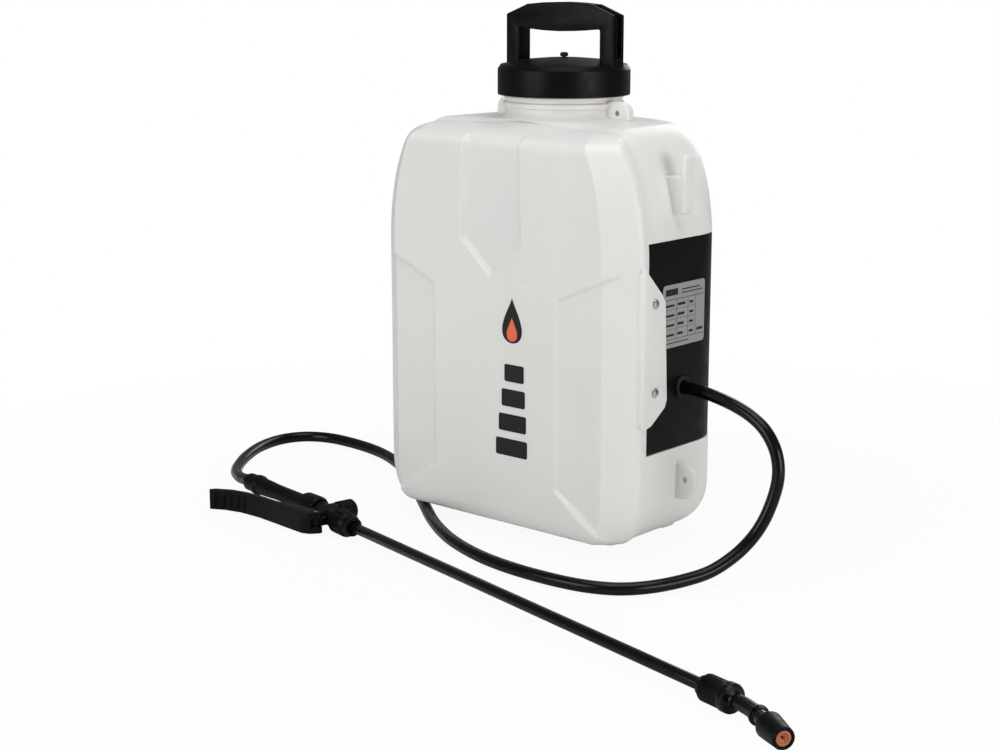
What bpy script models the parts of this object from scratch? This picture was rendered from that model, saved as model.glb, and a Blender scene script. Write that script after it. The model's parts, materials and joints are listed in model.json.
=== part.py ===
# Battery knapsack sprayer: tank, pump casing, screw lid with handle, hose, handset and lance.
# Metres, +Z up. The tank stands on z = 0 and its lid turns about the Z axis through the origin.
# The front of the tank looks towards -Y, the wearer's back is at +Y, the hose leaves at +X.
import math

import bmesh
import bpy
from mathutils import Matrix, Vector

for old in list(bpy.data.objects):
    bpy.data.objects.remove(old, do_unlink=True)

# ---------------------------------------------------------------- driving dimensions
FRONT_Y = -0.100            # front face
BACK_Y = 0.068              # back face
FACE_HALF = 0.130           # half width of the flat front face
SIDE_FRONT = 0.158          # half width where the chamfer ends
SIDE_BACK = 0.155           # half width where the back corner starts
CHAMFER_Y = -0.077
BACK_R = 0.055              # back corner radius
WALL = 0.003
DECK_Z = 0.392
BODY_Z = 0.0140             # underside of the body, above the feet
NECK_R = 0.0555
NECK_BASE = 0.3940
NECK_TOP = 0.4370
LID_R = 0.0630
LID_BOTTOM = 0.4150
LID_TOP = 0.4440
HANDLE_TOP = 0.5013
HANDLE_HALF = 0.0615
HANDLE_DEPTH = 0.0095       # half depth
HANDLE_TURN = Matrix.Rotation(math.radians(4.6), 4, "Z")
BAY_LOW = 0.1000
BAY_HIGH = 0.2935
BAY_FRONT = -0.0680
BAY_SIDE = 0.1160
BAY_BACK = 0.0140
CASE_WALL = 0.0025
HOSE_R = 0.0058
BOSS = Vector((0.1560, -0.0135, 0.1560))
HANDSET = Matrix.Translation((-0.1400, -0.1780, 0.0125)) @ Matrix.Rotation(math.radians(-9.0), 4, "Z")
LANCE = Matrix.Translation((-0.1075, -0.1925, 0.0125)) @ Matrix.Rotation(math.radians(-12.4), 4, "Z")
ALONG_X = Matrix.Rotation(math.radians(90.0), 4, "Y")
ALONG_Y = Matrix.Rotation(math.radians(-90.0), 4, "X")
LANCE_LENGTH = 0.5300
ARC_START = 0.5470          # where the nozzle's tube starts to bend, along the lance
ARC_RADIUS = 0.1000
ARC_LENGTH = ARC_RADIUS * math.radians(20.0)
HOSE_ROUTE = [(0.1512, -0.0135, 0.1560), (0.1600, -0.0135, 0.1560), (0.1750, -0.0150, 0.1556),
              (0.1965, -0.0185, 0.1540), (0.2210, -0.0215, 0.1495), (0.2405, -0.0235, 0.1430),
              (0.2555, -0.0250, 0.1340), (0.2660, -0.0255, 0.1210), (0.2715, -0.0260, 0.1060),
              (0.2725, -0.0275, 0.0900), (0.2695, -0.0310, 0.0715), (0.2645, -0.0370, 0.0530),
              (0.2580, -0.0460, 0.0375), (0.2500, -0.0600, 0.0240), (0.2400, -0.0800, 0.0130),
              (0.2290, -0.1050, 0.0084), (0.2160, -0.1320, 0.0066), (0.1990, -0.1540, 0.0062),
              (0.1760, -0.1670, 0.0062), (0.1456, -0.1735, 0.0062), (0.1009, -0.1748, 0.0062),
              (0.0581, -0.1700, 0.0062), (0.0200, -0.1595, 0.0062), (-0.0200, -0.1425, 0.0062),
              (-0.0644, -0.1155, 0.0062), (-0.1111, -0.0800, 0.0062), (-0.1600, -0.0420, 0.0062),
              (-0.2130, -0.0030, 0.0062), (-0.2627, 0.0250, 0.0062), (-0.3050, 0.0400, 0.0062),
              (-0.3504, 0.0463, 0.0062), (-0.3870, 0.0440, 0.0062), (-0.4120, 0.0290, 0.0062),
              (-0.4210, 0.0010, 0.0062), (-0.4130, -0.0350, 0.0062), (-0.3940, -0.0700, 0.0062),
              (-0.3720, -0.1000, 0.0062), (-0.3480, -0.1250, 0.0070), (-0.3200, -0.1430, 0.0095),
              (-0.3010, -0.1506, 0.0120)]


# ---------------------------------------------------------------- helpers
def material(name, colour, rough, metallic=0.0):
    m = bpy.data.materials.new(name)
    m.use_nodes = True
    shader = m.node_tree.nodes["Principled BSDF"]
    shader.inputs["Base Color"].default_value = (colour[0], colour[1], colour[2], 1.0)
    shader.inputs["Roughness"].default_value = rough
    shader.inputs["Metallic"].default_value = metallic
    m.diffuse_color = (colour[0], colour[1], colour[2], 1.0)
    return m


WHITE = (0.80, 0.80, 0.77)
BLACK = (0.020, 0.021, 0.022)
STEEL = (0.55, 0.56, 0.57)


def solid(name, verts, faces, colour, rough=0.45, metallic=0.0, pivot=(0, 0, 0)):
    """One closed mesh object with its own material; pivot becomes the object's origin."""
    pivot = Vector(pivot)
    bm = bmesh.new()
    made = [bm.verts.new(Vector(v) - pivot) for v in verts]
    for face in faces:
        bm.faces.new([made[i] for i in face])
    bmesh.ops.remove_doubles(bm, verts=bm.verts, dist=1e-7)
    bmesh.ops.recalc_face_normals(bm, faces=bm.faces)
    mesh = bpy.data.meshes.new(name)
    bm.to_mesh(mesh)
    bm.free()
    obj = bpy.data.objects.new(name, mesh)
    obj.location = pivot
    bpy.context.scene.collection.objects.link(obj)
    mesh.materials.append(material(name, colour, rough, metallic))
    return obj


def boolean(obj, other, how):
    mod = obj.modifiers.new(how.lower(), "BOOLEAN")
    mod.operation = how
    mod.solver = "EXACT"
    mod.object = other
    other.hide_render = True
    other.display_type = "WIRE"
    return obj


def cut(obj, *others):
    for other in others:
        boolean(obj, other, "DIFFERENCE")
    return obj


def fuse(obj, *others):
    for other in others:
        boolean(obj, other, "UNION")
    return obj


def loft(rings):
    """Vertices and faces of stacked rings, closed at both ends."""
    n = len(rings[0])
    verts = [p for ring in rings for p in ring]
    faces = []
    for k in range(len(rings) - 1):
        for i in range(n):
            j = (i + 1) % n
            faces.append((k * n + i, k * n + j, (k + 1) * n + j, (k + 1) * n + i))
    faces.append(tuple(range(n)))
    faces.append(tuple((len(rings) - 1) * n + i for i in range(n)))
    return verts, faces


def turned(profile, frame=Matrix.Identity(4), n=32, ribs=0, rib_depth=0.0, rib_rows=()):
    """Solid of revolution about frame's z. Profile runs (radius, z); r = 0 ends are poles."""
    verts = []
    faces = []
    rows = []
    closed = profile[0][0] > 0.0
    for k, (r, z) in enumerate(profile):
        if r == 0.0:
            verts.append(frame @ Vector((0, 0, z)))
            rows.append([len(verts) - 1] * n)
            continue
        row = []
        for i in range(n):
            a = 2.0 * math.pi * i / n
            rr = r
            if ribs and k in rib_rows and (i * ribs * 2 // n) % 2:
                rr = r - rib_depth
            verts.append(frame @ Vector((rr * math.cos(a), rr * math.sin(a), z)))
            row.append(len(verts) - 1)
        rows.append(row)
    pairs = [(k, k + 1) for k in range(len(rows) - 1)]
    if closed:
        pairs.append((len(rows) - 1, 0))
    for a, b in pairs:
        for i in range(n):
            j = (i + 1) % n
            quad = [rows[a][i], rows[a][j], rows[b][j], rows[b][i]]
            face = tuple(dict.fromkeys(quad))
            if len(face) > 2:
                faces.append(face)
    return verts, faces


def tube_profile(r_in, r_out, z0, z1):
    return [(r_in, z0), (r_out, z0), (r_out, z1), (r_in, z1)]


def rod_profile(r, z0, z1, edge=0.0):
    if edge:
        return [(0, z0), (r - edge, z0), (r, z0 + edge), (r, z1 - edge), (r - edge, z1), (0, z1)]
    return [(0, z0), (r, z0), (r, z1), (0, z1)]


def block(low, high, frame=Matrix.Identity(4)):
    """A box given by two corners."""
    corners = []
    for z in (low[2], high[2]):
        for x, y in ((low[0], low[1]), (high[0], low[1]), (high[0], high[1]), (low[0], high[1])):
            corners.append(frame @ Vector((x, y, z)))
    faces = [(0, 1, 2, 3), (4, 5, 6, 7), (0, 1, 5, 4), (1, 2, 6, 5), (2, 3, 7, 6), (3, 0, 4, 7)]
    return corners, faces


def plate(outline, axis, low, high, frame=Matrix.Identity(4)):
    """A flat outline pushed along axis "X", "Y" or "Z" from low to high."""
    verts = []
    for level in (low, high):
        for a, b in outline:
            point = {"X": (level, a, b), "Y": (a, level, b), "Z": (a, b, level)}[axis]
            verts.append(frame @ Vector(point))
    n = len(outline)
    faces = [tuple(range(n)), tuple(range(n, 2 * n))]
    for i in range(n):
        j = (i + 1) % n
        faces.append((i, j, n + j, n + i))
    return verts, faces


def rounded(w0, h0, w1, h1, r, steps=4):
    """Outline of a rectangle with round corners."""
    out = []
    for cx, cy, start in ((w1 - r, h1 - r, 0), (w0 + r, h1 - r, 90), (w0 + r, h0 + r, 180),
                          (w1 - r, h0 + r, 270)):
        for k in range(steps + 1):
            a = math.radians(start + 90.0 * k / steps)
            out.append((cx + r * math.cos(a), cy + r * math.sin(a)))
    return out


def smooth_path(points, count):
    """Evenly spaced points on a Catmull-Rom curve through the given ones."""
    pts = [Vector(p) for p in points]
    pts = [pts[0] * 2 - pts[1]] + pts + [pts[-1] * 2 - pts[-2]]
    fine = []
    for k in range(1, len(pts) - 2):
        p0, p1, p2, p3 = pts[k - 1:k + 3]
        for s in range(24):
            t = s / 24.0
            a = p1 * 2 + (p2 - p0) * t
            b = (p0 * 2 - p1 * 5 + p2 * 4 - p3) * t * t
            c = (p1 * 3 - p0 - p2 * 3 + p3) * t * t * t
            fine.append((a + b + c) * 0.5)
    fine.append(pts[-2])
    reach = [0.0]
    for a, b in zip(fine, fine[1:]):
        reach.append(reach[-1] + (b - a).length)
    out = []
    k = 0
    for i in range(count):
        want = reach[-1] * i / (count - 1)
        while k < len(fine) - 2 and reach[k + 1] < want:
            k += 1
        t = (want - reach[k]) / max(reach[k + 1] - reach[k], 1e-9)
        out.append(fine[k].lerp(fine[k + 1], min(max(t, 0.0), 1.0)))
    return out


def swept(path, r, n=10):
    """Round rod along a path of points, with flat ends."""
    rings = []
    side = Vector((0, 0, 1))
    for k, p in enumerate(path):
        ahead = (path[min(k + 1, len(path) - 1)] - path[max(k - 1, 0)]).normalized()
        side = (side - ahead * side.dot(ahead))
        if side.length < 1e-6:
            side = ahead.orthogonal()
        side.normalize()
        other = ahead.cross(side)
        ring = []
        for i in range(n):
            a = 2.0 * math.pi * i / n
            ring.append(p + (side * math.cos(a) + other * math.sin(a)) * r)
        rings.append(ring)
    return loft(rings)


# ---------------------------------------------------------------- tank
def plan(inset=0.0):
    """Tank outline seen from above, anticlockwise, inset evenly by the given distance."""
    face = FACE_HALF - inset * 0.5
    side_f = SIDE_FRONT - inset
    side_b = SIDE_BACK - inset
    front = FRONT_Y + inset
    back = BACK_Y - inset
    radius = BACK_R - inset
    right = [(face * t, front) for t in (0.25, 0.5, 0.75, 0.94)]
    right += [(face - 0.002, front + 0.0006), (face + 0.0012, front + 0.0022)]
    right += [(side_f - 0.0035, CHAMFER_Y - 0.0036), (side_f - 0.0010, CHAMFER_Y)]
    right += [(side_f, CHAMFER_Y + 0.006), (side_f * 0.4 + side_b * 0.6, -0.030)]
    centre = Vector((side_b - radius, back - radius))
    for k in range(7):
        a = math.radians(90.0 * k / 6.0)
        right.append((centre.x + radius * math.cos(a), centre.y + radius * math.sin(a)))
    right += [(centre.x * t, back) for t in (0.66, 0.33)]
    left = [(-x, y) for x, y in reversed(right)]
    return [(0.0, front)] + right + [(0.0, back)] + left


def section(z, squeeze_side, squeeze_front, squeeze_back, inset=0.0):
    ring = []
    for x, y in plan(inset):
        sy = squeeze_front if y < 0 else squeeze_back
        reach = -FRONT_Y if y < 0 else BACK_Y
        ring.append(Vector((x * (1 - squeeze_side / SIDE_FRONT), y * (1 - sy / reach), z)))
    return ring


def circle_like(ring, radius, z):
    """A circle with one point for each point of the ring."""
    return [Vector((radius * p.x / math.hypot(p.x, p.y), radius * p.y / math.hypot(p.x, p.y),
            z)) for p in ring]


def side_squeeze(z):
    t = (z - 0.272) / (DECK_Z - 0.272)
    if t <= 0:
        return 0.0
    return 0.052 * (1.0 - math.sqrt(max(0.0, 1.0 - min(t, 1.0) ** 2)))


def body_rings(inset=0.0):
    """Rings of the tank's body from its underside to the deck."""
    rows = [(BODY_Z, 0.020, 0.010, 0.018), (BODY_Z + 0.002, 0.013, 0.005, 0.012),
            (BODY_Z + 0.007, 0.007, 0.0015, 0.006), (BODY_Z + 0.016, 0.003, 0.0, 0.002),
            (0.050, 0.0, 0.0, 0.0)]
    for z in (0.160, 0.272, 0.300, 0.325, 0.345, 0.360):
        rows.append((z, side_squeeze(z), 0.0, max(0.0, (z - 0.33)) * 0.08))
    rows += [(0.370, side_squeeze(0.370), 0.0, 0.006), (0.3765, side_squeeze(0.3765), 0.001, 0.010),
             (0.3810, side_squeeze(0.3810), 0.006, 0.014), (0.3865, side_squeeze(0.3865), 0.018, 0.020),
             (0.3900, side_squeeze(0.3900), 0.030, 0.026), (DECK_Z, 0.0540, 0.0380, 0.0085)]
    if inset:
        rows = [rows[k] for k in (0, 2, 4, 6, 8, 10, 11, 14, 16)]
    out = []
    for z, side, front, back in rows:
        lift = inset if z < 0.10 else -inset if z > 0.3 else 0.0
        out.append(section(z + lift, side, front, min(back, 0.0085), inset))
    return out


outer = body_rings()
outer += [circle_like(outer[-1], NECK_R + 0.003, NECK_BASE)]
verts, faces = loft(outer)
tank = solid("tank", verts, faces, WHITE, 0.35)

inner = body_rings(WALL)
top_in = inner[-1]
inner += [circle_like(top_in, NECK_R - WALL, DECK_Z + 0.001), circle_like(top_in, NECK_R - WALL, NECK_TOP)]
verts, faces = loft(inner)
cavity = solid("cavity", verts, faces, WHITE)


def bay(grow, reach=0.30):
    """U-shaped prism at the back and both sides of the tank."""
    side = BAY_SIDE - grow
    front = BAY_FRONT - grow
    back = BAY_BACK - grow
    outline = [(side, front), (reach, front), (reach, reach), (-reach, reach), (-reach, front),
               (-side, front), (-side, back), (side, back)]
    return plate(outline, "Z", BAY_LOW - grow, BAY_HIGH + grow)


cut(cavity, solid("bay_wall", *bay(WALL), WHITE))
cut(tank, solid("bay_cut", *bay(0.0), WHITE), cavity)
flange_outline = [(-0.0785, 0.2720), (-0.0765, 0.2712), (-0.0530, 0.2475), (-0.0480, 0.2400),
                  (-0.0437, 0.1500), (-0.0465, 0.1430), (-0.0665, 0.1290), (-0.0785, 0.1265)]
root_outline = [(-0.0790, 0.2700), (-0.0690, 0.2640), (-0.0690, 0.1350), (-0.0790, 0.1290)]
ear_outline = [(0.0540, 0.3942), (0.0795, 0.3942), (0.0818, 0.3970), (0.0812, 0.4040), (0.0775, 0.4090),
               (0.0715, 0.4115), (0.0540, 0.4115)]


def mirrored(outline):
    return [(-a, b) for a, b in outline]


lug_outline = [(0.1420, 0.0500), (0.1690, 0.0520), (0.1755, 0.0610), (0.1775, 0.0655), (0.1775, 0.0770),
               (0.1750, 0.0800), (0.1610, 0.0860), (0.1420, 0.0870)]
front_foot = rounded(0.0600, -0.0500, 0.1040, -0.0240, 0.010)
back_foot = rounded(0.0600, 0.0280, 0.1040, 0.0540, 0.010)
added = []
for outline in (lug_outline, mirrored(lug_outline)):
    added.append(plate(outline, "Y", -0.0200, -0.0130))
for outline in (front_foot, back_foot, mirrored(front_foot), mirrored(back_foot)):
    added.append(plate(outline, "Z", 0.0, 0.0175))
added.append(plate(root_outline, "X", 0.1500, 0.1610))
added.append(plate(flange_outline, "X", 0.1578, 0.1615))
added.append(plate(rounded(-0.0250, -0.0250, 0.0250, 0.0200, 0.010), "Z", 0.0, 0.0175))
hook_outline = [(0.1380, 0.3170), (0.1600, 0.3160), (0.1636, 0.3180), (0.1652, 0.3230), (0.1660, 0.3670),
                (0.1646, 0.3700), (0.1628, 0.3700), (0.1616, 0.3670), (0.1612, 0.3500), (0.1380, 0.3500)]
added.append(plate(hook_outline, "Y", -0.0285, -0.0150))
for verts, faces in added:
    fuse(tank, solid("moulded_on", verts, faces, WHITE))
screw_places = ((-0.0625, 0.2400), (-0.0615, 0.1590))
for y, z in screw_places:
    frame = Matrix.Translation((0, y, z)) @ ALONG_X
    cut(tank, solid("screw_hole", *turned(rod_profile(0.0024, 0.1560, 0.1700), frame, 20), WHITE))
for sign in (1, -1):
    frame = Matrix.Translation((sign * 0.1660, 0, 0.0705)) @ ALONG_Y
    cut(tank, solid("lug_hole", *turned(rod_profile(0.0030, -0.03, 0.01), frame, 16), WHITE))
outlet_frame = Matrix.Translation((0.030, 0, 0.1180)) @ ALONG_Y
cut(tank, solid("outlet_hole", *turned(rod_profile(0.0090, 0.0, 0.030), outlet_frame, 24), WHITE))

neck_rows = [(NECK_R - WALL, NECK_BASE), (NECK_R + 0.003, NECK_BASE), (NECK_R + 0.0008, 0.3955),
             (NECK_R, 0.3980), (NECK_R, 0.4036), (NECK_R + 0.0022, 0.4044), (NECK_R + 0.0022, 0.4086),
             (NECK_R, 0.4096), (NECK_R, NECK_TOP), (NECK_R - WALL, NECK_TOP)]
neck = solid("tank_neck", *turned(neck_rows, n=48), WHITE, 0.35)
for outline in (ear_outline, mirrored(ear_outline)):
    fuse(neck, solid("ear_plate", *plate(outline, "Y", -0.0042, 0.0042), WHITE))
for x in (0.0680, -0.0680):
    frame = Matrix.Translation((x, 0, 0.4005)) @ ALONG_Y
    cut(neck, solid("ear_hole", *turned(rod_profile(0.0026, -0.02, 0.02), frame, 16), WHITE))

# ---------------------------------------------------------------- pump casing
case_rings = [section(z, 0.0, 0.0, 0.0, 0.0010) for z in (BAY_LOW - 0.02, BAY_HIGH + 0.02)]
casing = solid("pump_casing", *loft(case_rings), BLACK, 0.5)
case_space = solid("case_space", *bay(-0.0006), BLACK)
boolean(casing, case_space, "INTERSECT")
room_rings = [section(z, 0.0, 0.0, 0.0, 0.0010 + CASE_WALL) for z in (BAY_LOW + 0.003, BAY_HIGH - 0.003)]
room = solid("case_room", *loft(room_rings), BLACK)
room_front = BAY_FRONT + 0.0036
room_outline = [(0.108, room_front), (0.3, room_front), (0.3, 0.3), (-0.3, 0.3), (-0.3, room_front),
                (-0.108, room_front), (-0.108, 0.008), (0.108, 0.008)]
room_space = solid("room_space", *plate(room_outline, "Z", 0.05, 0.35), BLACK)
boolean(room, room_space, "INTERSECT")
port_battery = solid("port_battery", *block((-0.20, 0.0170, 0.1115), (-0.09, 0.0620, 0.1905)), BLACK)
port_rocker = solid("port_rocker", *block((-0.17, -0.0315, 0.2335), (-0.14, -0.0085, 0.2665)), BLACK)
knob_frame = Matrix.Translation((0, -0.020, 0.2050)) @ ALONG_X
port_knob = solid("port_knob", *turned(rod_profile(0.0040, -0.17, -0.14), knob_frame, 20), BLACK)
boss_frame = Matrix.Translation((0, BOSS.y, BOSS.z)) @ ALONG_X
port_hose = solid("port_hose", *turned(rod_profile(0.0095, 0.14, 0.17), boss_frame, 28), BLACK)
cut(casing, room, port_battery, port_rocker, port_knob, port_hose)
head = [(0, 0.1500), (0.0019, 0.1500), (0.0019, 0.1618), (0.0040, 0.1618), (0.0040, 0.1628),
        (0.0030, 0.1638), (0, 0.1640)]
for k, (y, z) in enumerate(screw_places):
    frame = Matrix.Translation((0, y, z)) @ ALONG_X
    cut(casing, solid("case_hole", *turned(rod_profile(0.0024, 0.1480, 0.1700), frame, 20), BLACK))
    screw = solid("flange_screw_%d" % (k + 1), *turned(head, frame, 20), STEEL, 0.3, 1.0,
                  pivot=(0.157, y, z))
    for wide, tall in ((0.0022, 0.0005), (0.0005, 0.0022)):
        slot = block((0.1634, y - wide, z - tall), (0.1650, y + wide, z + tall))
        cut(screw, solid("cross", *slot, STEEL))

plate_frame = Matrix.Translation((0.1553, -0.0130, 0.2243)) @ Matrix.Rotation(math.radians(1.9), 4, "Z")
plate_outline = rounded(-0.0330, -0.0290, 0.0330, 0.0290, 0.004)
solid("rating_plate", *plate(plate_outline, "X", 0.0, 0.0006, plate_frame), (0.33, 0.33, 0.33), 0.5)

bush = [(0.0064, 0.1506), (0.0090, 0.1506), (0.0090, 0.1556), (0.0118, 0.1556), (0.0112, 0.1584),
        (0.0064, 0.1584)]
solid("hose_bush", *turned(bush, boss_frame, 28), BLACK, 0.6)
tail = [(0.0018, 0.1290), (0.0075, 0.1290), (0.0075, 0.1330), (0.0040, 0.1330), (0.0040, 0.1500),
        (0.0018, 0.1500)]
solid("outlet_tail", *turned(tail, boss_frame, 24), (0.05, 0.05, 0.05), 0.5)

# ---------------------------------------------------------------- inside the casing
pump_x, pump_y = 0.078, 0.0400
upright = Matrix.Translation((pump_x, pump_y, 0))
pump = solid("pump_head", *plate(rounded(pump_x - 0.023, pump_y - 0.021, pump_x + 0.023, pump_y + 0.021,
             0.005), "Z", 0.1180, 0.1440), (0.03, 0.03, 0.035), 0.5)
for port_y in (pump_y - 0.012, pump_y + 0.012):
    reach = (-0.030, -0.015) if port_y > pump_y else (0.015, 0.030)
    frame = Matrix.Translation((pump_x, port_y, 0.1270)) @ ALONG_X
    fuse(pump, solid("port", *turned(rod_profile(0.0045, *reach), frame, 16), BLACK))
cut(pump, solid("chamber", *turned(rod_profile(0.0150, 0.1380, 0.1500), upright, 28), BLACK))
solid("diaphragm", *turned([(0, 0.1400), (0.0080, 0.1400), (0.0135, 0.1436), (0.0190, 0.1440),
      (0.0190, 0.1456), (0.0120, 0.1450), (0.0080, 0.1420), (0, 0.1420)], upright, 24),
      (0.03, 0.03, 0.03), 0.7)
cut(pump, solid("seat", *turned(rod_profile(0.0194, 0.1430, 0.1500), upright, 28), BLACK))
bracket = solid("pump_bracket", *plate([(-0.030, -0.0215), (0.030, -0.0215), (0.030, 0.0215),
                (-0.030, 0.0215)], "Z", 0.1640, 0.1660, upright), STEEL, 0.35, 1.0)
cut(bracket, solid("pass", *turned(rod_profile(0.0090, 0.16, 0.17), upright, 24), STEEL))
for bx in (-0.026, 0.026):
    frame = Matrix.Translation((pump_x + bx, pump_y, 0))
    cut(bracket, solid("fixing", *turned(rod_profile(0.0022, 0.16, 0.17), frame, 16), STEEL))
gearcase = solid("drive_housing", *plate(rounded(-0.021, -0.0205, 0.021, 0.0205, 0.006), "Z", 0.1464,
                 0.1636, upright), BLACK, 0.5)
cut(gearcase, solid("hollow", *turned(rod_profile(0.0165, 0.14, 0.17), upright, 28), BLACK))
hub = solid("drive_hub", *turned([(0, 0.1490), (0.0140, 0.1490), (0.0140, 0.1560), (0.0060, 0.1560),
                                  (0.0060, 0.1620), (0, 0.1620)], upright, 28), (0.5, 0.5, 0.48), 0.4,
            pivot=(pump_x, pump_y, 0.155))
cut(hub, solid("bore", *turned(rod_profile(0.0019, 0.1550, 0.1700), upright, 16), STEEL))
solid("motor_shaft", *turned(rod_profile(0.0016, 0.1553, 0.2340, 0.0002), upright, 16), STEEL, 0.25,
      1.0, pivot=(pump_x, pump_y, 0.200))
can = [(0.0020, 0.1664), (0.0090, 0.1664), (0.0090, 0.1675), (0.0180, 0.1675), (0.0185, 0.1690),
       (0.0185, 0.2290), (0.0175, 0.2310), (0.0060, 0.2310), (0.0060, 0.2340), (0.0020, 0.2340)]
solid("motor_can", *turned(can, upright, 26), STEEL, 0.35, 1.0)
solid("pressure_switch", *turned(rod_profile(0.0080, 0.1022 + 0.0030, 0.1176, 0.001), upright, 24),
      (0.06, 0.06, 0.07), 0.5)
suction_path = smooth_path([(0.030, 0.0345, 0.1180), (0.0305, 0.0400, 0.1185), (0.0360, 0.0480, 0.1220),
                            (0.0420, 0.0515, 0.1260), (0.0474, 0.0520, 0.1270)], 14)
solid("suction_tube", *swept(suction_path, 0.0045, 12), (0.45, 0.46, 0.45), 0.4)
pressure_path = smooth_path([(0.1086, 0.0280, 0.1270), (0.1150, 0.0275, 0.1280), (0.1210, 0.0220, 0.1340),
                             (0.1225, 0.0080, 0.1440), (0.1220, -0.0060, 0.1530), (0.1235, -0.0125, 0.1560),
                             (0.1284, -0.0135, 0.1560)], 20)
solid("pressure_tube", *swept(pressure_path, 0.0032, 10), (0.04, 0.04, 0.04), 0.4)
solid("tank_outlet", *turned([(0.0045, -0.0040), (0.0078, -0.0040), (0.0078, 0.0144), (0.0125, 0.0144),
      (0.0125, 0.0190), (0.0060, 0.0190), (0.0060, 0.0340), (0.0045, 0.0340)], outlet_frame, 24), BLACK,
      0.5)
solid("outlet_strainer", *turned([(0.0082, -0.0240), (0.0096, -0.0240), (0.0096, 0.0090),
      (0.0082, 0.0090)], outlet_frame, 20), (0.30, 0.32, 0.33), 0.6)
solid("control_board", *block((-0.1050, 0.0190, 0.2100), (0.0100, 0.0206, 0.2700)), (0.03, 0.12, 0.06),
      0.5)
solid("speed_pot", *turned([(0, -0.1400), (0.0078, -0.1400), (0.0078, -0.1520), (0.0034, -0.1520),
      (0.0034, -0.1600), (0, -0.1600)], knob_frame, 24), (0.35, 0.35, 0.36), 0.4, 0.6)
knob = solid("speed_knob", *turned([(0, -0.1604), (0.0105, -0.1604), (0.0105, -0.1610), (0.0095, -0.1720),
                                    (0.0080, -0.1735), (0, -0.1735)], knob_frame, 32, 16, 0.0006, (3,)),
             (0.03, 0.03, 0.03), 0.4, pivot=(-0.165, -0.020, 0.2050))
pointer = solid("pointer", *block((-0.1760, -0.0206, 0.2070), (-0.1728, -0.0194, 0.2140)), BLACK)
cut(knob, pointer)
frame_piece = solid("rocker_frame", *block((-0.1590, -0.0335, 0.2310), (-0.1575, -0.0065, 0.2690)),
                    BLACK, 0.4)
fuse(frame_piece, solid("frame_body", *block((-0.1585, -0.0310, 0.2340), (-0.1400, -0.0090, 0.2660)),
     BLACK))
cut(frame_piece, solid("frame_pocket", *block((-0.1700, -0.0285, 0.2370), (-0.1440, -0.0115, 0.2630)),
    BLACK))
rocker_outline = [(-0.1475, 0.2420), (-0.1475, 0.2580), (-0.1565, 0.2608), (-0.1612, 0.2608),
                  (-0.1588, 0.2500), (-0.1600, 0.2392), (-0.1565, 0.2392)]
solid("power_rocker", *plate(rocker_outline, "Y", -0.0280, -0.0120), (0.35, 0.03, 0.02), 0.4,
      pivot=(-0.1530, -0.020, 0.2500))
terminal = solid("battery_terminal", *block((-0.0120, 0.0250, 0.1300), (0.0040, 0.0550, 0.1720)), BLACK,
                 0.5)
for tz in (0.140, 0.151, 0.162):
    fuse(terminal, solid("blade", *block((-0.0200, 0.0385, tz - 0.0008),
         (-0.0100, 0.0415, tz + 0.0008)), STEEL))
pack_outline = rounded(0.0190, 0.1135, 0.0600, 0.1885, 0.005)
pack = solid("battery_pack", *plate(pack_outline, "X", -0.1260, -0.0145), (0.045, 0.045, 0.05), 0.5)
cut(pack, solid("pack_slots", *block((-0.0260, 0.0360, 0.1340), (-0.0100, 0.0440, 0.1680)), BLACK))
cut(pack, solid("button_well", *block((-0.1400, 0.0310, 0.1700), (-0.1180, 0.0490, 0.1795)), BLACK))
solid("battery_button", *block((-0.1275, 0.0314, 0.1704), (-0.1225, 0.0486, 0.1791)),
      (0.25, 0.02, 0.02), 0.45)

# ---------------------------------------------------------------- fill basket and lid
basket_low = [(0, 0.3300), (0.0470, 0.3300), (0.0510, 0.4374), (0.0550, 0.4374), (0.0550, 0.4386),
              (0.0495, 0.4386), (0.0452, 0.3316), (0, 0.3316)]
solid("fill_basket", *turned(basket_low, n=32), (0.04, 0.04, 0.045), 0.5)
solid("lid_gasket", *turned(tube_profile(0.0500, 0.0585, 0.4390, 0.4408), n=32), (0.02, 0.02, 0.02),
      0.7)
lid_profile = [(0.0590, LID_BOTTOM), (LID_R - 0.0006, LID_BOTTOM), (LID_R, LID_BOTTOM + 0.001),
               (LID_R, 0.4385), (LID_R - 0.0012, 0.4420), (LID_R - 0.0055, LID_TOP), (0.0350, 0.4480),
               (0.0042, 0.4500), (0.0018, 0.4500), (0.0018, 0.4470), (0.0340, 0.4450), (0.0480, 0.4412),
               (0.0590, 0.4412)]
lid = solid("lid", *turned(lid_profile, n=40), BLACK, 0.45)
arch = [(-HANDLE_HALF, 0.4395), (-HANDLE_HALF, 0.4895), (-0.0370, 0.4990), (-0.0180, 0.5008),
        (0.0, HANDLE_TOP), (0.0180, 0.5008), (0.0370, 0.4990), (HANDLE_HALF, 0.4895),
        (HANDLE_HALF, 0.4395)]
window = [(0.0466, 0.4300), (0.0466, 0.4745), (0.0445, 0.4768), (0.0230, 0.4750), (0.0, 0.4743),
          (-0.0230, 0.4750), (-0.0445, 0.4768), (-0.0466, 0.4745), (-0.0466, 0.4300)]
handle = solid("handle_body", *plate(arch, "Y", -HANDLE_DEPTH, HANDLE_DEPTH, HANDLE_TURN), BLACK)
cut(handle, solid("window", *plate(window, "Y", -0.03, 0.03, HANDLE_TURN), BLACK))
groove = [(0.0560, 0.4470), (0.0560, 0.4860), (0.0360, 0.4940), (0.0400, 0.5100), (0.0700, 0.5100),
          (0.0700, 0.4470)]
for outline in (groove, mirrored(groove)):
    cut(handle, solid("outer_groove", *plate(outline, "Y", -0.0055, 0.0055, HANDLE_TURN), BLACK))
trim_inner = solid("trim_inner", *turned(rod_profile(0.0602, 0.40, 0.4427), n=36), BLACK)
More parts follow.
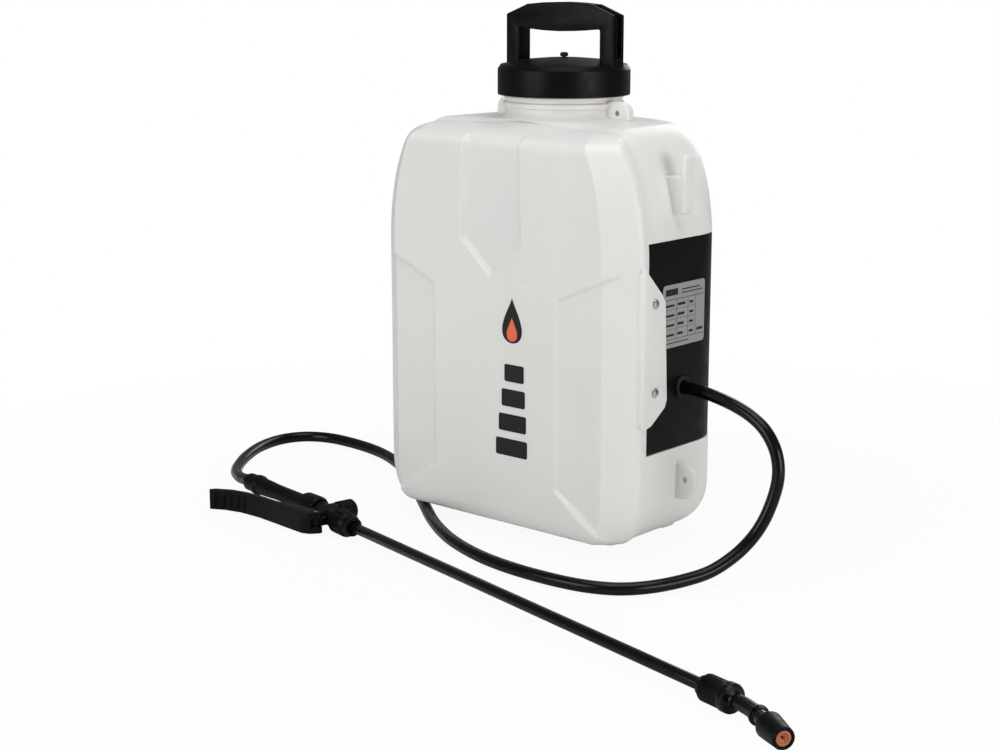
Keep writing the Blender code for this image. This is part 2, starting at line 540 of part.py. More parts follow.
cut(handle, trim_inner)
round_off = solid("round_off", *turned(rod_profile(LID_R - 0.0002, 0.40, 0.60), n=40), BLACK)
boolean(handle, round_off, "INTERSECT")
fuse(lid, handle)
solid("vent_valve", *turned([(0, 0.4440), (0.0040, 0.4440), (0.0040, 0.4462), (0.0014, 0.4462),
      (0.0014, 0.4504), (0.0040, 0.4504), (0.0040, 0.4535), (0.0030, 0.4545), (0, 0.4545)], n=24),
      (0.02, 0.02, 0.02), 0.5)

# ---------------------------------------------------------------- handset
into_x = HANDSET @ ALONG_X
nut_rows = [(0.0070, -0.1530), (0.0084, -0.1530), (0.0090, -0.1515), (0.0090, -0.1390), (0.0070, -0.1390)]
solid("hose_nut", *turned(nut_rows, into_x, 36, 9, 0.0008, (2, 3)), BLACK, 0.5,
      pivot=HANDSET @ Vector((-0.145, 0, 0)))
tail_rows = [(0.0020, -0.1500), (0.0030, -0.1500), (0.0030, -0.1385), (0.0066, -0.1385), (0.0066, -0.1300),
             (0.0020, -0.1300)]
solid("grip_tail", *turned(tail_rows, into_x, 20), (0.04, 0.04, 0.04), 0.5)
grip_rows = [(0.0070, -0.1380), (0.0103, -0.1380), (0.0103, -0.1320), (0.0092, -0.1290), (0.0086, -0.1180),
             (0.0078, -0.1000), (0.0076, -0.0620), (0.0080, -0.0500), (0.0113, -0.0460), (0.0118, -0.0440),
             (0.0118, -0.0250), (0.0100, -0.0225), (0.0084, -0.0225), (0.0084, -0.0400), (0.0056, -0.0400),
             (0.0056, -0.1270), (0.0070, -0.1270)]
solid("grip_barrel", *turned(grip_rows, into_x, 26), BLACK, 0.5)
filter_rows = [(0.0028, -0.1200), (0.0050, -0.1200), (0.0050, -0.0560), (0.0028, -0.0560)]
solid("grip_filter", *turned(filter_rows, into_x, 20), (0.30, 0.32, 0.33), 0.6)
across = HANDSET @ Matrix.Translation((-0.002, 0, 0)) @ ALONG_Y
valve = solid("valve_body", *turned(rod_profile(0.0098, -0.0185, 0.0125, 0.0006), across, 32), BLACK, 0.5)
inlet = solid("inlet", *turned(rod_profile(0.0080, -0.0390, -0.0020), into_x, 28), BLACK)
into_lance = LANCE @ ALONG_X
outlet_stub = solid("outlet_stub", *turned(rod_profile(0.0086, -0.0300, 0.0040), into_lance, 28), BLACK)
ear = solid("ear", *plate([(0.0014, -0.0120), (0.0104, -0.0100), (0.0165, -0.0200), (0.0165, -0.0300),
                           (0.0125, -0.0335), (0.0080, -0.0325), (0.0042, -0.0240)], "Z", -0.0033, 0.0033,
                          HANDSET), BLACK)
fuse(valve, inlet, outlet_stub, ear)
cut(valve, solid("spring_room", *turned(rod_profile(0.0074, -0.0050, 0.0200), across, 24), BLACK),
    solid("stem_bore", *turned(rod_profile(0.0026, -0.0300, 0.0), across, 20), BLACK),
    solid("inlet_bore", *turned(rod_profile(0.0040, -0.0500, -0.0050), into_x, 20), BLACK),
    solid("outlet_bore", *turned(rod_profile(0.0030, -0.0285, 0.0100), into_lance, 20), BLACK))
pin_at = HANDSET @ Matrix.Translation((0.0120, -0.0280, 0))
cut(valve, solid("ear_bore", *turned(rod_profile(0.00225, -0.02, 0.02), pin_at, 20), BLACK))
solid("lever_pin", *turned(rod_profile(0.0020, -0.0100, 0.0100, 0.0003), pin_at, 20), STEEL, 0.3, 1.0)
outer_edge = [(-0.1225, -0.0680), (-0.1080, -0.0570), (-0.0900, -0.0495), (-0.0650, -0.0450),
              (-0.0420, -0.0435), (-0.0200, -0.0425), (0.0060, -0.0410), (0.0140, -0.0370),
              (0.0190, -0.0280)]
inner_edge = [(0.0185, -0.0245), (0.0060, -0.0235), (-0.0100, -0.0270), (-0.0240, -0.0290),
              (-0.0300, -0.0345), (-0.0440, -0.0370), (-0.0650, -0.0385), (-0.0880, -0.0425),
              (-0.1060, -0.0495), (-0.1195, -0.0600)]
lever = solid("trigger_lever", *plate(outer_edge + inner_edge, "Z", -0.0103, 0.0103, HANDSET), BLACK, 0.5,
              pivot=pin_at.translation)
channel = [(-0.0235, -0.0100), (-0.0235, -0.0330), (-0.0160, -0.0352), (0.0300, -0.0352), (0.0300, -0.0100)]
cut(lever, solid("channel", *plate(channel, "Z", -0.0040, 0.0040, HANDSET), BLACK),
    solid("lever_bore", *turned(rod_profile(0.00225, -0.02, 0.02), pin_at, 20), BLACK))
for k in range(5):
    sx = -0.1157 + 0.0090 * k
    cut(lever, solid("grip_slot", *block((sx, -0.0800, -0.0065), (sx + 0.0030, -0.0300, 0.0065),
        HANDSET), BLACK))
stem = [(0, -0.0348), (0.0022, -0.0348), (0.0022, -0.0046), (0.0050, -0.0046), (0.0050, -0.0020),
        (0.0022, -0.0020), (0.0022, 0.0040), (0, 0.0040)]
solid("valve_plunger", *turned(stem, across, 20), (0.55, 0.50, 0.30), 0.35, 1.0)
solid("plunger_seal", *turned([(0.0053, -0.0046), (0.0069, -0.0046), (0.0069, -0.0030),
      (0.0053, -0.0030)], across, 20), (0.02, 0.02, 0.02), 0.7)
coil = []
for k in range(6 * 12 + 1):
    a = 2.0 * math.pi * k / 12.0
    local = Vector((0.0046 * math.cos(a), 0.0046 * math.sin(a), -0.0012 + 0.0148 * k / 72.0))
    coil.append(across @ local)
solid("valve_spring", *swept(coil, 0.00045, 5), STEEL, 0.3, 1.0)
cap_rows = [(0, 0.0150), (0.0068, 0.0150), (0.0068, 0.0130), (0.0098, 0.0130), (0.0098, 0.0240),
            (0.0085, 0.0255), (0, 0.0255)]
solid("spring_cap", *turned(cap_rows, across, 36, 9, 0.0006, (3, 4)), BLACK, 0.5,
      pivot=across @ Vector((0, 0, 0.019)))

# ---------------------------------------------------------------- lance and nozzle
nut_rows = [(0.0090, -0.0130), (0.0118, -0.0130), (0.0122, -0.0115), (0.0122, 0.0060), (0.0100, 0.0090),
            (0.0092, 0.0160), (0.0054, 0.0160), (0.0054, 0.0052), (0.0090, 0.0052)]
solid("lance_nut", *turned(nut_rows, into_lance, 36, 9, 0.0008, (2, 3)), BLACK, 0.5,
      pivot=LANCE.translation)
solid("lance_seal", *turned(tube_profile(0.0032, 0.0052, 0.0043, 0.0049), into_lance, 20),
      (0.02, 0.02, 0.02), 0.7)
solid("lance_tube", *turned(tube_profile(0.0036, 0.0050, 0.0054, LANCE_LENGTH), into_lance, 24), BLACK,
      0.3)
nozzle_rows = [(0.0054, 0.5140), (0.0082, 0.5140), (0.0092, 0.5165), (0.0116, 0.5195), (0.0116, 0.5400),
               (0.0066, 0.5400), (0.0066, 0.5306), (0.0054, 0.5306)]
solid("nozzle_nut", *turned(nozzle_rows, into_lance, 48, 12, 0.0008, (3, 4)), BLACK, 0.5,
      pivot=LANCE @ Vector((0.527, 0, 0)))
solid("nozzle_seal", *turned(tube_profile(0.0032, 0.0052, 0.5304, 0.5312), into_lance, 20),
      (0.02, 0.02, 0.02), 0.7)


def centre_line(s):
    """Frame of the elbow's centre line at distance s along the lance, z pointing along it."""
    turn = min(max(s - ARC_START, 0.0), ARC_LENGTH) / ARC_RADIUS
    x = min(s, ARC_START) + ARC_RADIUS * math.sin(turn)
    y = -ARC_RADIUS * (1.0 - math.cos(turn))
    beyond = max(s - ARC_START - ARC_LENGTH, 0.0)
    x += beyond * math.cos(turn)
    y -= beyond * math.sin(turn)
    return LANCE @ Matrix.Translation((x, y, 0)) @ Matrix.Rotation(-turn, 4, "Z") @ ALONG_X


def bent(rows, n):
    """Closed solid whose (s, r) rows follow the elbow's centre line."""
    verts = []
    for s, r in rows:
        frame = centre_line(s)
        for i in range(n):
            a = 2.0 * math.pi * i / n
            verts.append(frame @ Vector((r * math.cos(a), r * math.sin(a), 0)))
    faces = []
    for k in range(len(rows)):
        m = (k + 1) % len(rows)
        for i in range(n):
            j = (i + 1) % n
            faces.append((k * n + i, k * n + j, m * n + j, m * n + i))
    return verts, faces


elbow_rows = [(0.5316, 0.0062), (0.5404, 0.0062), (0.5404, 0.0122), (0.5412, 0.0125), (0.5465, 0.0125),
              (0.5480, 0.0118), (0.5488, 0.0074), (0.5502, 0.0060), (0.5580, 0.0060), (0.5650, 0.0060),
              (0.5720, 0.0060), (0.5796, 0.0060), (0.5800, 0.0082), (0.5824, 0.0082), (0.5828, 0.0060),
              (0.5954, 0.0060), (0.5958, 0.0070), (0.6088, 0.0070), (0.6088, 0.0022), (0.5819, 0.0022),
              (0.5720, 0.0022), (0.5600, 0.0022), (0.5470, 0.0022), (0.5316, 0.0022)]
solid("nozzle_elbow", *bent(elbow_rows, 20), BLACK, 0.35)
tip = centre_line(ARC_START + ARC_LENGTH)
cap_rows = [(0.0074, 0.0160), (0.0098, 0.0160), (0.0104, 0.0178), (0.0085, 0.0425), (0.0079, 0.0433),
            (0.0062, 0.0433), (0.0062, 0.0322), (0.0074, 0.0322)]
solid("nozzle_cap", *turned(cap_rows, tip, 32), BLACK, 0.45, pivot=tip @ Vector((0, 0, 0.0290)))
insert_rows = [(0.0009, 0.0328), (0.0058, 0.0328), (0.0058, 0.0427), (0.0030, 0.0419), (0.0009, 0.0400)]
solid("nozzle_insert", *turned(insert_rows, tip, 28), (0.42, 0.13, 0.05), 0.45)
solid("swirl_disc", *turned(tube_profile(0.0012, 0.0060, 0.0276, 0.0316), tip, 24), (0.4, 0.4, 0.4),
      0.4)


# ---------------------------------------------------------------- hose
hose_data = bpy.data.curves.new("hose", "CURVE")
hose_data.dimensions = "3D"
hose_data.bevel_depth = HOSE_R
hose_data.bevel_resolution = 2
hose_data.use_fill_caps = True
route = HOSE_ROUTE + [tuple(HANDSET @ Vector((x, 0, 0))) for x in (-0.1580, -0.1506)]
line = smooth_path(route, 78)
spline = hose_data.splines.new("POLY")
spline.points.add(len(line) - 1)
for point, spot in zip(spline.points, line):
    point.co = (spot.x, spot.y, spot.z, 1.0)
hose = bpy.data.objects.new("hose", hose_data)
bpy.context.scene.collection.objects.link(hose)
hose_data.materials.append(material("hose", (0.015, 0.015, 0.016), 0.3))
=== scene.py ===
# Backpack sprayer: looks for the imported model, in metres, +Z up, front of the tank towards -Y.
import json
import math

import bmesh
import bpy
import numpy as np
from mathutils import Matrix, Vector
from mathutils.geometry import tessellate_polygon

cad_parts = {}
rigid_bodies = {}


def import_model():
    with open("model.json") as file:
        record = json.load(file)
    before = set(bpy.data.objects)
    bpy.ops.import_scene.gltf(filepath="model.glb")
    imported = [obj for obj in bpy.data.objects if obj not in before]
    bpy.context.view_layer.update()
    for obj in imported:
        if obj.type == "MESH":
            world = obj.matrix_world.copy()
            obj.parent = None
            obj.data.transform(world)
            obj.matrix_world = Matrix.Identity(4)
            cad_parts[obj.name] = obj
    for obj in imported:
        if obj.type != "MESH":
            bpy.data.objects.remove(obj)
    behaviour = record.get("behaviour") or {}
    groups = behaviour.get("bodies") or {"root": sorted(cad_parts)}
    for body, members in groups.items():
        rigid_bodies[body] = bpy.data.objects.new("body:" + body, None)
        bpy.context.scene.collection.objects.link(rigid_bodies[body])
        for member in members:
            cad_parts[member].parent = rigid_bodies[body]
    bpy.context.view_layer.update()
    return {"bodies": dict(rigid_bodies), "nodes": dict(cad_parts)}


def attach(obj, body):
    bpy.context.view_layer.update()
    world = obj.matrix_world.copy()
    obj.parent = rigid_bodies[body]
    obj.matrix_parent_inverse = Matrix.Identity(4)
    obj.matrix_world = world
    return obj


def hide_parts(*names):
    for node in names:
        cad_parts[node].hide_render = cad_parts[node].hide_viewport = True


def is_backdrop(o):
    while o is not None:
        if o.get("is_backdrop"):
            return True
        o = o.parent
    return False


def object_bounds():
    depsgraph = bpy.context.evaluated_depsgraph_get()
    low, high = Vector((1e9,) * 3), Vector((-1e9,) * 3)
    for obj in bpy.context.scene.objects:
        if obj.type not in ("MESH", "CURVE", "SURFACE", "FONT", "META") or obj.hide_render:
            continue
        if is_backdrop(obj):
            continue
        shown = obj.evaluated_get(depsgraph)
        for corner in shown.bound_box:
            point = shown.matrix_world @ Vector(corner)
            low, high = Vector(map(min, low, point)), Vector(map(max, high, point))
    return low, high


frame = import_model()
scene = bpy.context.scene
BODY_NAME = {empty: name for name, empty in frame["bodies"].items()}
BODY_OF = {name: BODY_NAME[node.parent] for name, node in frame["nodes"].items() if node.parent in BODY_NAME}

# ---------------------------------------------------------------- camera
CAMERA_AT = (1.17080, -1.38505, 0.53220)
CAMERA_TILT = 77.867        # degrees from straight down
CAMERA_TURN = 42.123        # degrees about Z
camera_data = bpy.data.cameras.new("camera")
camera_data.sensor_width = 36.0
camera_data.lens = 68.18
camera_data.clip_end = 60.0
camera = bpy.data.objects.new("camera", camera_data)
camera.location = CAMERA_AT
camera.rotation_euler = (math.radians(CAMERA_TILT), 0.0, math.radians(CAMERA_TURN))
scene.collection.objects.link(camera)
scene.camera = camera

# ---------------------------------------------------------------- shared places
ALONG_X = Matrix.Rotation(math.radians(90.0), 4, "Y")
ALONG_Y = Matrix.Rotation(math.radians(-90.0), 4, "X")
HANDSET = Matrix.Translation((-0.1400, -0.1780, 0.0125)) @ Matrix.Rotation(math.radians(-9.0), 4, "Z")
LANCE = Matrix.Translation((-0.1075, -0.1925, 0.0125)) @ Matrix.Rotation(math.radians(-12.4), 4, "Z")
INTO_HANDSET = HANDSET @ ALONG_X
INTO_LANCE = LANCE @ ALONG_X
ACROSS = HANDSET @ Matrix.Translation((-0.002, 0, 0)) @ ALONG_Y
BOSS_Y = -0.0135
BOSS_Z = 0.1560
INTO_BOSS = Matrix.Translation((0, BOSS_Y, BOSS_Z)) @ ALONG_X
HOSE_R = 0.0058
HOSE_ROUTE = [
    (0.1512, -0.0135, 0.1560), (0.1600, -0.0135, 0.1560), (0.1750, -0.0150, 0.1556), (0.1965, -0.0185, 0.1540),
    (0.2210, -0.0215, 0.1495), (0.2405, -0.0235, 0.1430), (0.2555, -0.0250, 0.1340), (0.2660, -0.0255, 0.1210),
    (0.2715, -0.0260, 0.1060), (0.2725, -0.0275, 0.0900), (0.2695, -0.0310, 0.0715), (0.2645, -0.0370, 0.0530),
    (0.2580, -0.0460, 0.0375), (0.2500, -0.0600, 0.0240), (0.2400, -0.0800, 0.0130), (0.2290, -0.1050, 0.0084),
    (0.2160, -0.1320, 0.0066), (0.1990, -0.1540, 0.0062), (0.1760, -0.1670, 0.0062), (0.1456, -0.1735, 0.0062),
    (0.1009, -0.1748, 0.0062), (0.0581, -0.1700, 0.0062), (0.0200, -0.1595, 0.0062), (-0.0200, -0.1425, 0.0062),
    (-0.0644, -0.1155, 0.0062), (-0.1111, -0.0800, 0.0062), (-0.1600, -0.0420, 0.0062), (-0.2130, -0.0030, 0.0062),
    (-0.2627, 0.0250, 0.0062), (-0.3050, 0.0400, 0.0062), (-0.3504, 0.0463, 0.0062), (-0.3870, 0.0440, 0.0062),
    (-0.4120, 0.0290, 0.0062), (-0.4210, 0.0010, 0.0062), (-0.4130, -0.0350, 0.0062), (-0.3940, -0.0700, 0.0062),
    (-0.3720, -0.1000, 0.0062), (-0.3480, -0.1250, 0.0070), (-0.3200, -0.1430, 0.0095), (-0.3010, -0.1506, 0.0120),
]
HOSE_ROUTE += [tuple(HANDSET @ Vector((along, 0, 0))) for along in (-0.1580, -0.1506)]


# ---------------------------------------------------------------- shape helpers
def smooth_path(points, count):
    """Evenly spaced points on a Catmull-Rom curve through the given ones."""
    pts = [Vector(p) for p in points]
    pts = [pts[0] * 2 - pts[1]] + pts + [pts[-1] * 2 - pts[-2]]
    fine = []
    for k in range(1, len(pts) - 2):
        p0, p1, p2, p3 = pts[k - 1:k + 3]
        for s in range(24):
            t = s / 24.0
            a = p1 * 2 + (p2 - p0) * t
            b = (p0 * 2 - p1 * 5 + p2 * 4 - p3) * t * t
            c = (p1 * 3 - p0 - p2 * 3 + p3) * t * t * t
            fine.append((a + b + c) * 0.5)
    fine.append(pts[-2])
    reach = [0.0]
    for a, b in zip(fine, fine[1:]):
        reach.append(reach[-1] + (b - a).length)
    out = []
    k = 0
    for i in range(count):
        want = reach[-1] * i / (count - 1)
        while k < len(fine) - 2 and reach[k + 1] < want:
            k += 1
        t = (want - reach[k]) / max(reach[k + 1] - reach[k], 1e-9)
        out.append(fine[k].lerp(fine[k + 1], min(max(t, 0.0), 1.0)))
    return out, reach[-1]


def soften(points, radius, steps=4, closed=True):
    """A 2D polyline with its corners rounded."""
    out = []
    n = len(points)
    for i, here in enumerate(points):
        here = Vector(here)
        if not closed and i in (0, n - 1):
            out.append(tuple(here))
            continue
        to_last = Vector(points[i - 1]) - here
        to_next = Vector(points[(i + 1) % n]) - here
        turn = math.pi - to_last.angle(to_next, math.pi)
        if turn < math.radians(14.0):
            out.append(tuple(here))
            continue
        room = 0.45 * min(to_last.length, to_next.length)
        cut_back = min(radius * math.tan(turn / 2.0), room)
        a = here + to_last.normalized() * cut_back
        b = here + to_next.normalized() * cut_back
        for k in range(steps + 1):
            t = k / steps
            out.append(tuple(a * (1 - t) ** 2 + here * 2 * t * (1 - t) + b * t * t))
    return out


def piece(name, verts, faces, sharp=35.0):
    """A closed mesh object shaded smooth, with edges sharper than the given angle kept."""
    mesh = bpy.data.meshes.new(name)
    mesh.from_pydata([tuple(v) for v in verts], [], [tuple(f) for f in faces])
    bm = bmesh.new()
    bm.from_mesh(mesh)
    bmesh.ops.remove_doubles(bm, verts=bm.verts, dist=1e-7)
    bmesh.ops.recalc_face_normals(bm, faces=bm.faces)
    bm.to_mesh(mesh)
    bm.free()
    mesh.shade_smooth()
    mesh.set_sharp_from_angle(angle=math.radians(sharp))
    obj = bpy.data.objects.new(name, mesh)
    scene.collection.objects.link(obj)
    return obj


def turned(profile, at=Matrix.Identity(4), n=72, ribs=None):
    """Solid of revolution about at's z; ribs = (count, depth, z low, z high, width share)."""
    verts = []
    faces = []
    rows = []
    for r, z in profile:
        if r < 1e-9:
            verts.append(at @ Vector((0, 0, z)))
            rows.append([len(verts) - 1] * n)
            continue
        row = []
        for i in range(n):
            a = 2.0 * math.pi * i / n
            rr = r
            if ribs and ribs[2] <= z <= ribs[3] and (i * ribs[0] / n) % 1.0 > ribs[4]:
                rr = r - ribs[1]
            verts.append(at @ Vector((rr * math.cos(a), rr * math.sin(a), z)))
            row.append(len(verts) - 1)
        rows.append(row)
    pairs = list(zip(range(len(rows) - 1), range(1, len(rows))))
    if profile[0][0] > 1e-9:
        pairs.append((len(rows) - 1, 0))
    for a, b in pairs:
        for i in range(n):
            j = (i + 1) % n
            face = tuple(dict.fromkeys([rows[a][i], rows[a][j], rows[b][j], rows[b][i]]))
            if len(face) > 2:
                faces.append(face)
    return verts, faces


def rod(r, z0, z1, edge=0.0003):
    return soften([(0, z0), (r, z0), (r, z1), (0, z1)], edge, 3, closed=False)


def bevelled(verts, faces, width, steps=2, limit=25.0):
    """The same solid with its sharp edges rounded."""
    bm = bmesh.new()
    made = [bm.verts.new(Vector(v)) for v in verts]
    for face in faces:
        bm.faces.new([made[i] for i in face])
    bmesh.ops.recalc_face_normals(bm, faces=bm.faces)
    bm.normal_update()
    edges = [e for e in bm.edges if e.calc_face_angle(0.0) > math.radians(limit)]
    bmesh.ops.bevel(bm, geom=edges, offset=width, segments=steps, profile=0.5, affect="EDGES", clamp_overlap=True)
    bm.verts.index_update()
    out = ([v.co.copy() for v in bm.verts], [[v.index for v in f.verts] for f in bm.faces])
    bm.free()
    return out


def plate(outline, axis, low, high, at=Matrix.Identity(4)):
    """A flat outline pushed along an axis from low to high."""
    verts = []
    for level in (low, high):
        for a, b in outline:
            point = {"X": (level, a, b), "Y": (a, level, b), "Z": (a, b, level)}[axis]
            verts.append(at @ Vector(point))
    n = len(outline)
    faces = [tuple(range(n)), tuple(range(n, 2 * n))]
    for i in range(n):
        j = (i + 1) % n
        faces.append((i, j, n + j, n + i))
    return verts, faces


def block(low, high, at=Matrix.Identity(4)):
    outline = [(low[0], low[1]), (high[0], low[1]), (high[0], high[1]), (low[0], high[1])]
    return plate(outline, "Z", low[2], high[2], at)


def carve(obj, shape, how="DIFFERENCE", sharp=35.0):
    """Cuts, joins or intersects obj with a closed shape, at once."""
    tool = piece("tool", *shape)
    mod = obj.modifiers.new("carve", "BOOLEAN")
    mod.operation = how
    mod.solver = "MANIFOLD"
    mod.object = tool
    bpy.context.view_layer.update()
    seen = obj.evaluated_get(bpy.context.evaluated_depsgraph_get())
    mesh = bpy.data.meshes.new_from_object(seen)
    obj.modifiers.clear()
    old = obj.data
    obj.data = mesh
    mesh.name = obj.name
    bpy.data.meshes.remove(old)
    bpy.data.meshes.remove(tool.data)
    if not mesh.polygons:
        raise RuntimeError("nothing left of " + obj.name)
    mesh.shade_smooth()
    mesh.set_sharp_from_angle(angle=math.radians(sharp))
    return obj


def taken(obj):
    """Verts and faces of a helper piece, which is removed."""
    shape = ([v.co.copy() for v in obj.data.vertices], [list(p.vertices) for p in obj.data.polygons])
    bpy.data.meshes.remove(obj.data)
    return shape


# ---------------------------------------------------------------- materials
def preset(node, **values):
    """Sets inputs of a shader node; _ stands for a space in an input's name."""
    for key, value in values.items():
        node.inputs[key.replace("_", " ")].default_value = value
    return node


def added(tree, kind, **values):
    return preset(tree.nodes.new("ShaderNode" + kind), **values)


def surface(name, colour, rough=(0.35, 0.45), vary=0.06, patch=18.0, grain=900.0, grain_depth=0.00004,
            metallic=0.0, level=0.5, wave=None, scatter=0.0, speckle=0.0):
    """Moulded or machined surface: colour drifts in patches, roughness is uneven, a fine grain lifts it."""
    mat = bpy.data.materials.new(name)
    mat.use_nodes = True
    tree = mat.node_tree
    link = tree.links.new
    shader = preset(tree.nodes["Principled BSDF"], Metallic=metallic, Specular_IOR_Level=level)
    if scatter:
        preset(shader, Subsurface_Weight=scatter, Subsurface_Radius=(1.0, 0.95, 0.85), Subsurface_Scale=0.006)
    place = added(tree, "TexCoord").outputs["Object"]
    drift = added(tree, "TexNoise", Scale=patch, Detail=5.0)
    link(place, drift.inputs["Vector"])
    ramp = added(tree, "ValToRGB")
    for stop, position, shift in zip(ramp.color_ramp.elements, (0.30, 0.72), (1.0 - vary, 1.0 + vary)):
        stop.position = position
        stop.color = (*[min(1.0, max(0.0, c * shift)) for c in colour], 1.0)
    link(drift.outputs["Fac"], ramp.inputs["Fac"])
    colour_out = ramp.outputs["Color"]
    if speckle:
        dust = added(tree, "TexNoise", Scale=420.0, Detail=3.0)
        link(place, dust.inputs["Vector"])
        pick = added(tree, "MapRange", From_Min=0.62, From_Max=0.80, To_Max=speckle)
        link(dust.outputs["Fac"], pick.inputs["Value"])
        mix = added(tree, "Mix")
        mix.data_type = "RGBA"
        mix.inputs["B"].default_value = (0.30, 0.30, 0.29, 1.0)
        link(pick.outputs["Result"], mix.inputs["Factor"])
        link(colour_out, mix.inputs["A"])
        colour_out = mix.outputs["Result"]
    link(colour_out, shader.inputs["Base Color"])
    uneven = added(tree, "TexNoise", Scale=patch * 4.3, Detail=6.0)
    link(place, uneven.inputs["Vector"])
    spread = added(tree, "MapRange", From_Min=0.30, From_Max=0.70, To_Min=rough[0], To_Max=rough[1])
    link(uneven.outputs["Fac"], spread.inputs["Value"])
    link(spread.outputs["Result"], shader.inputs["Roughness"])
    fine = added(tree, "TexNoise", Scale=grain, Detail=3.0)
    link(place, fine.inputs["Vector"])
    bump = added(tree, "Bump", Strength=0.6, Distance=grain_depth)
    link(fine.outputs["Fac"], bump.inputs["Height"])
    if wave:
        direction, bands, height = wave
        rings = added(tree, "TexWave", Scale=bands, Distortion=1.5)
        rings.bands_direction = direction
        link(place, rings.inputs["Vector"])
        second = added(tree, "Bump", Strength=0.5, Distance=height)
        link(rings.outputs["Fac"], second.inputs["Height"])
        link(bump.outputs["Normal"], second.inputs["Normal"])
        bump = second
    link(bump.outputs["Normal"], shader.inputs["Normal"])
    return mat


TANK = surface("tank_plastic", (0.720, 0.716, 0.702), (0.34, 0.46), 0.025, 9.0, 650.0, 0.00005, scatter=0.25)
BLACK = surface("black_satin", (0.0018, 0.0019, 0.0020), (0.32, 0.44), 0.25, 30.0, 1500.0, 0.00006, level=0.10,
                speckle=0.02)
CASE = surface("casing_black", (0.0022, 0.0027, 0.0029), (0.42, 0.54), 0.15, 22.0, 1800.0, 0.00007, level=0.10,
               speckle=0.03)
GLOSS = surface("gloss_black", (0.0022, 0.0022, 0.0024), (0.14, 0.24), 0.15, 40.0, 700.0, 0.00002, level=0.20)
HOSE = surface("hose_rubber", (0.0022, 0.0022, 0.0024), (0.16, 0.28), 0.2, 25.0, 500.0, 0.00003, level=0.20,
               speckle=0.02)
RUBBER = surface("soft_rubber", (0.012, 0.012, 0.013), (0.60, 0.75), 0.15, 60.0, 1600.0, 0.00004, level=0.25)
STEEL = surface("bright_steel", (0.56, 0.56, 0.57), (0.22, 0.36), 0.08, 120.0, 2400.0, 0.00002, metallic=1.0)
MOTOR = surface("drawn_steel", (0.42, 0.43, 0.44), (0.28, 0.42), 0.06, 60.0, 1800.0, 0.00003, metallic=1.0,
                wave=("Z", 220.0, 0.00002))
BRASS = surface("turned_brass", (0.58, 0.44, 0.20), (0.25, 0.38), 0.08, 90.0, 2200.0, 0.00002, metallic=1.0)
INSERT = surface("insert_brown", (0.40, 0.125, 0.050), (0.34, 0.48), 0.12, 260.0, 2600.0, 0.00003, level=0.45)
RED = surface("red_plastic", (0.36, 0.020, 0.014), (0.35, 0.48), 0.08, 90.0, 1600.0, 0.00003)
LABEL = surface("label_foil", (0.300, 0.305, 0.310), (0.30, 0.40), 0.04, 60.0, 2600.0, 0.00001, metallic=0.25)
PRINT = surface("print_black", (0.0060, 0.0060, 0.0062), (0.40, 0.50), 0.10, 200.0, 2600.0, 0.00001, level=0.25)
ORANGE = surface("print_orange", (0.74, 0.125, 0.045), (0.36, 0.46), 0.05, 120.0, 2400.0, 0.00001)
BOARD = surface("board_green", (0.020, 0.120, 0.045), (0.35, 0.50), 0.25, 90.0, 900.0, 0.00004)
FILTER = surface("filter_mesh", (0.30, 0.32, 0.33), (0.45, 0.60), 0.10, 90.0, 2400.0, 0.00010,
                 wave=("DIAGONAL", 520.0, 0.00015))
CLEAR = surface("milky_tube", (0.52, 0.54, 0.53), (0.18, 0.28), 0.05, 40.0, 900.0, 0.00002, scatter=0.3)
PACK = surface("pack_black", (0.016, 0.016, 0.018), (0.48, 0.62), 0.12, 35.0, 1400.0, 0.00009, level=0.35,
               speckle=0.03)


def dress(obj, mat):
    obj.data.materials.clear()
    obj.data.materials.append(mat)
    return obj


def stands_for(obj, node, mat):
    """obj is shown in place of a CAD node and moves with that node's body."""
    dress(obj, mat)
    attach(obj, BODY_OF[node])
    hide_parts(node)
    return obj


def extra(obj, body, mat):
    """obj is a further visible piece on a body."""
    dress(obj, mat)
    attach(obj, body)
    return obj


# ---------------------------------------------------------------- hose
hose_line, hose_length = smooth_path(HOSE_ROUTE, 320)
hose_data = bpy.data.curves.new("supply_hose", "CURVE")
hose_data.dimensions = "3D"
hose_data.bevel_depth = HOSE_R
hose_data.bevel_resolution = 6
hose_data.use_fill_caps = True
spline = hose_data.splines.new("POLY")
spline.points.add(len(hose_line) - 1)
for point, spot in zip(spline.points, hose_line):
    point.co = (spot.x, spot.y, spot.z, 1.0)
spline.use_smooth = True
hose = bpy.data.objects.new("supply_hose", hose_data)
scene.collection.objects.link(hose)
stands_for(hose, "hose", HOSE)

# ---------------------------------------------------------------- tank
FRONT_Y = -0.100
BACK_Y = 0.068
FACE_HALF = 0.130
SIDE_FRONT = 0.158
SIDE_BACK = 0.155
CHAMFER_Y = -0.077
BEND_LOW = 0.050         # the underside rounds into the wall below this
BEND_HIGH = 0.368       # the wall rounds into the deck above this
BACK_R = 0.055           # rounding of the back corners
BODY_Z = 0.0140
DECK_Z = 0.392
NECK_R = 0.0555
NECK_TOP = 0.4370
VALLEY_Y = -0.060
# raised front panel and the side wings, as (x, z) on the front face; DOTS are its small bumps
SHIELD = [(-0.0370, 0.4100), (0.0290, 0.4100), (0.0292, 0.3760), (0.0325, 0.2850), (-0.0040, 0.2540),
          (-0.0405, 0.2850), (-0.0372, 0.3760)]
WING = [(0.0775, 0.2380), (0.1340, 0.2620), (0.1700, 0.2750), (0.1700, 0.0120), (0.1480, 0.0120),
        (0.1220, 0.0290), (0.0765, 0.0600)]
DOTS = [(0.069, 0.139), (-0.072, 0.023), (-0.085, 0.239), (0.036, 0.2455)]


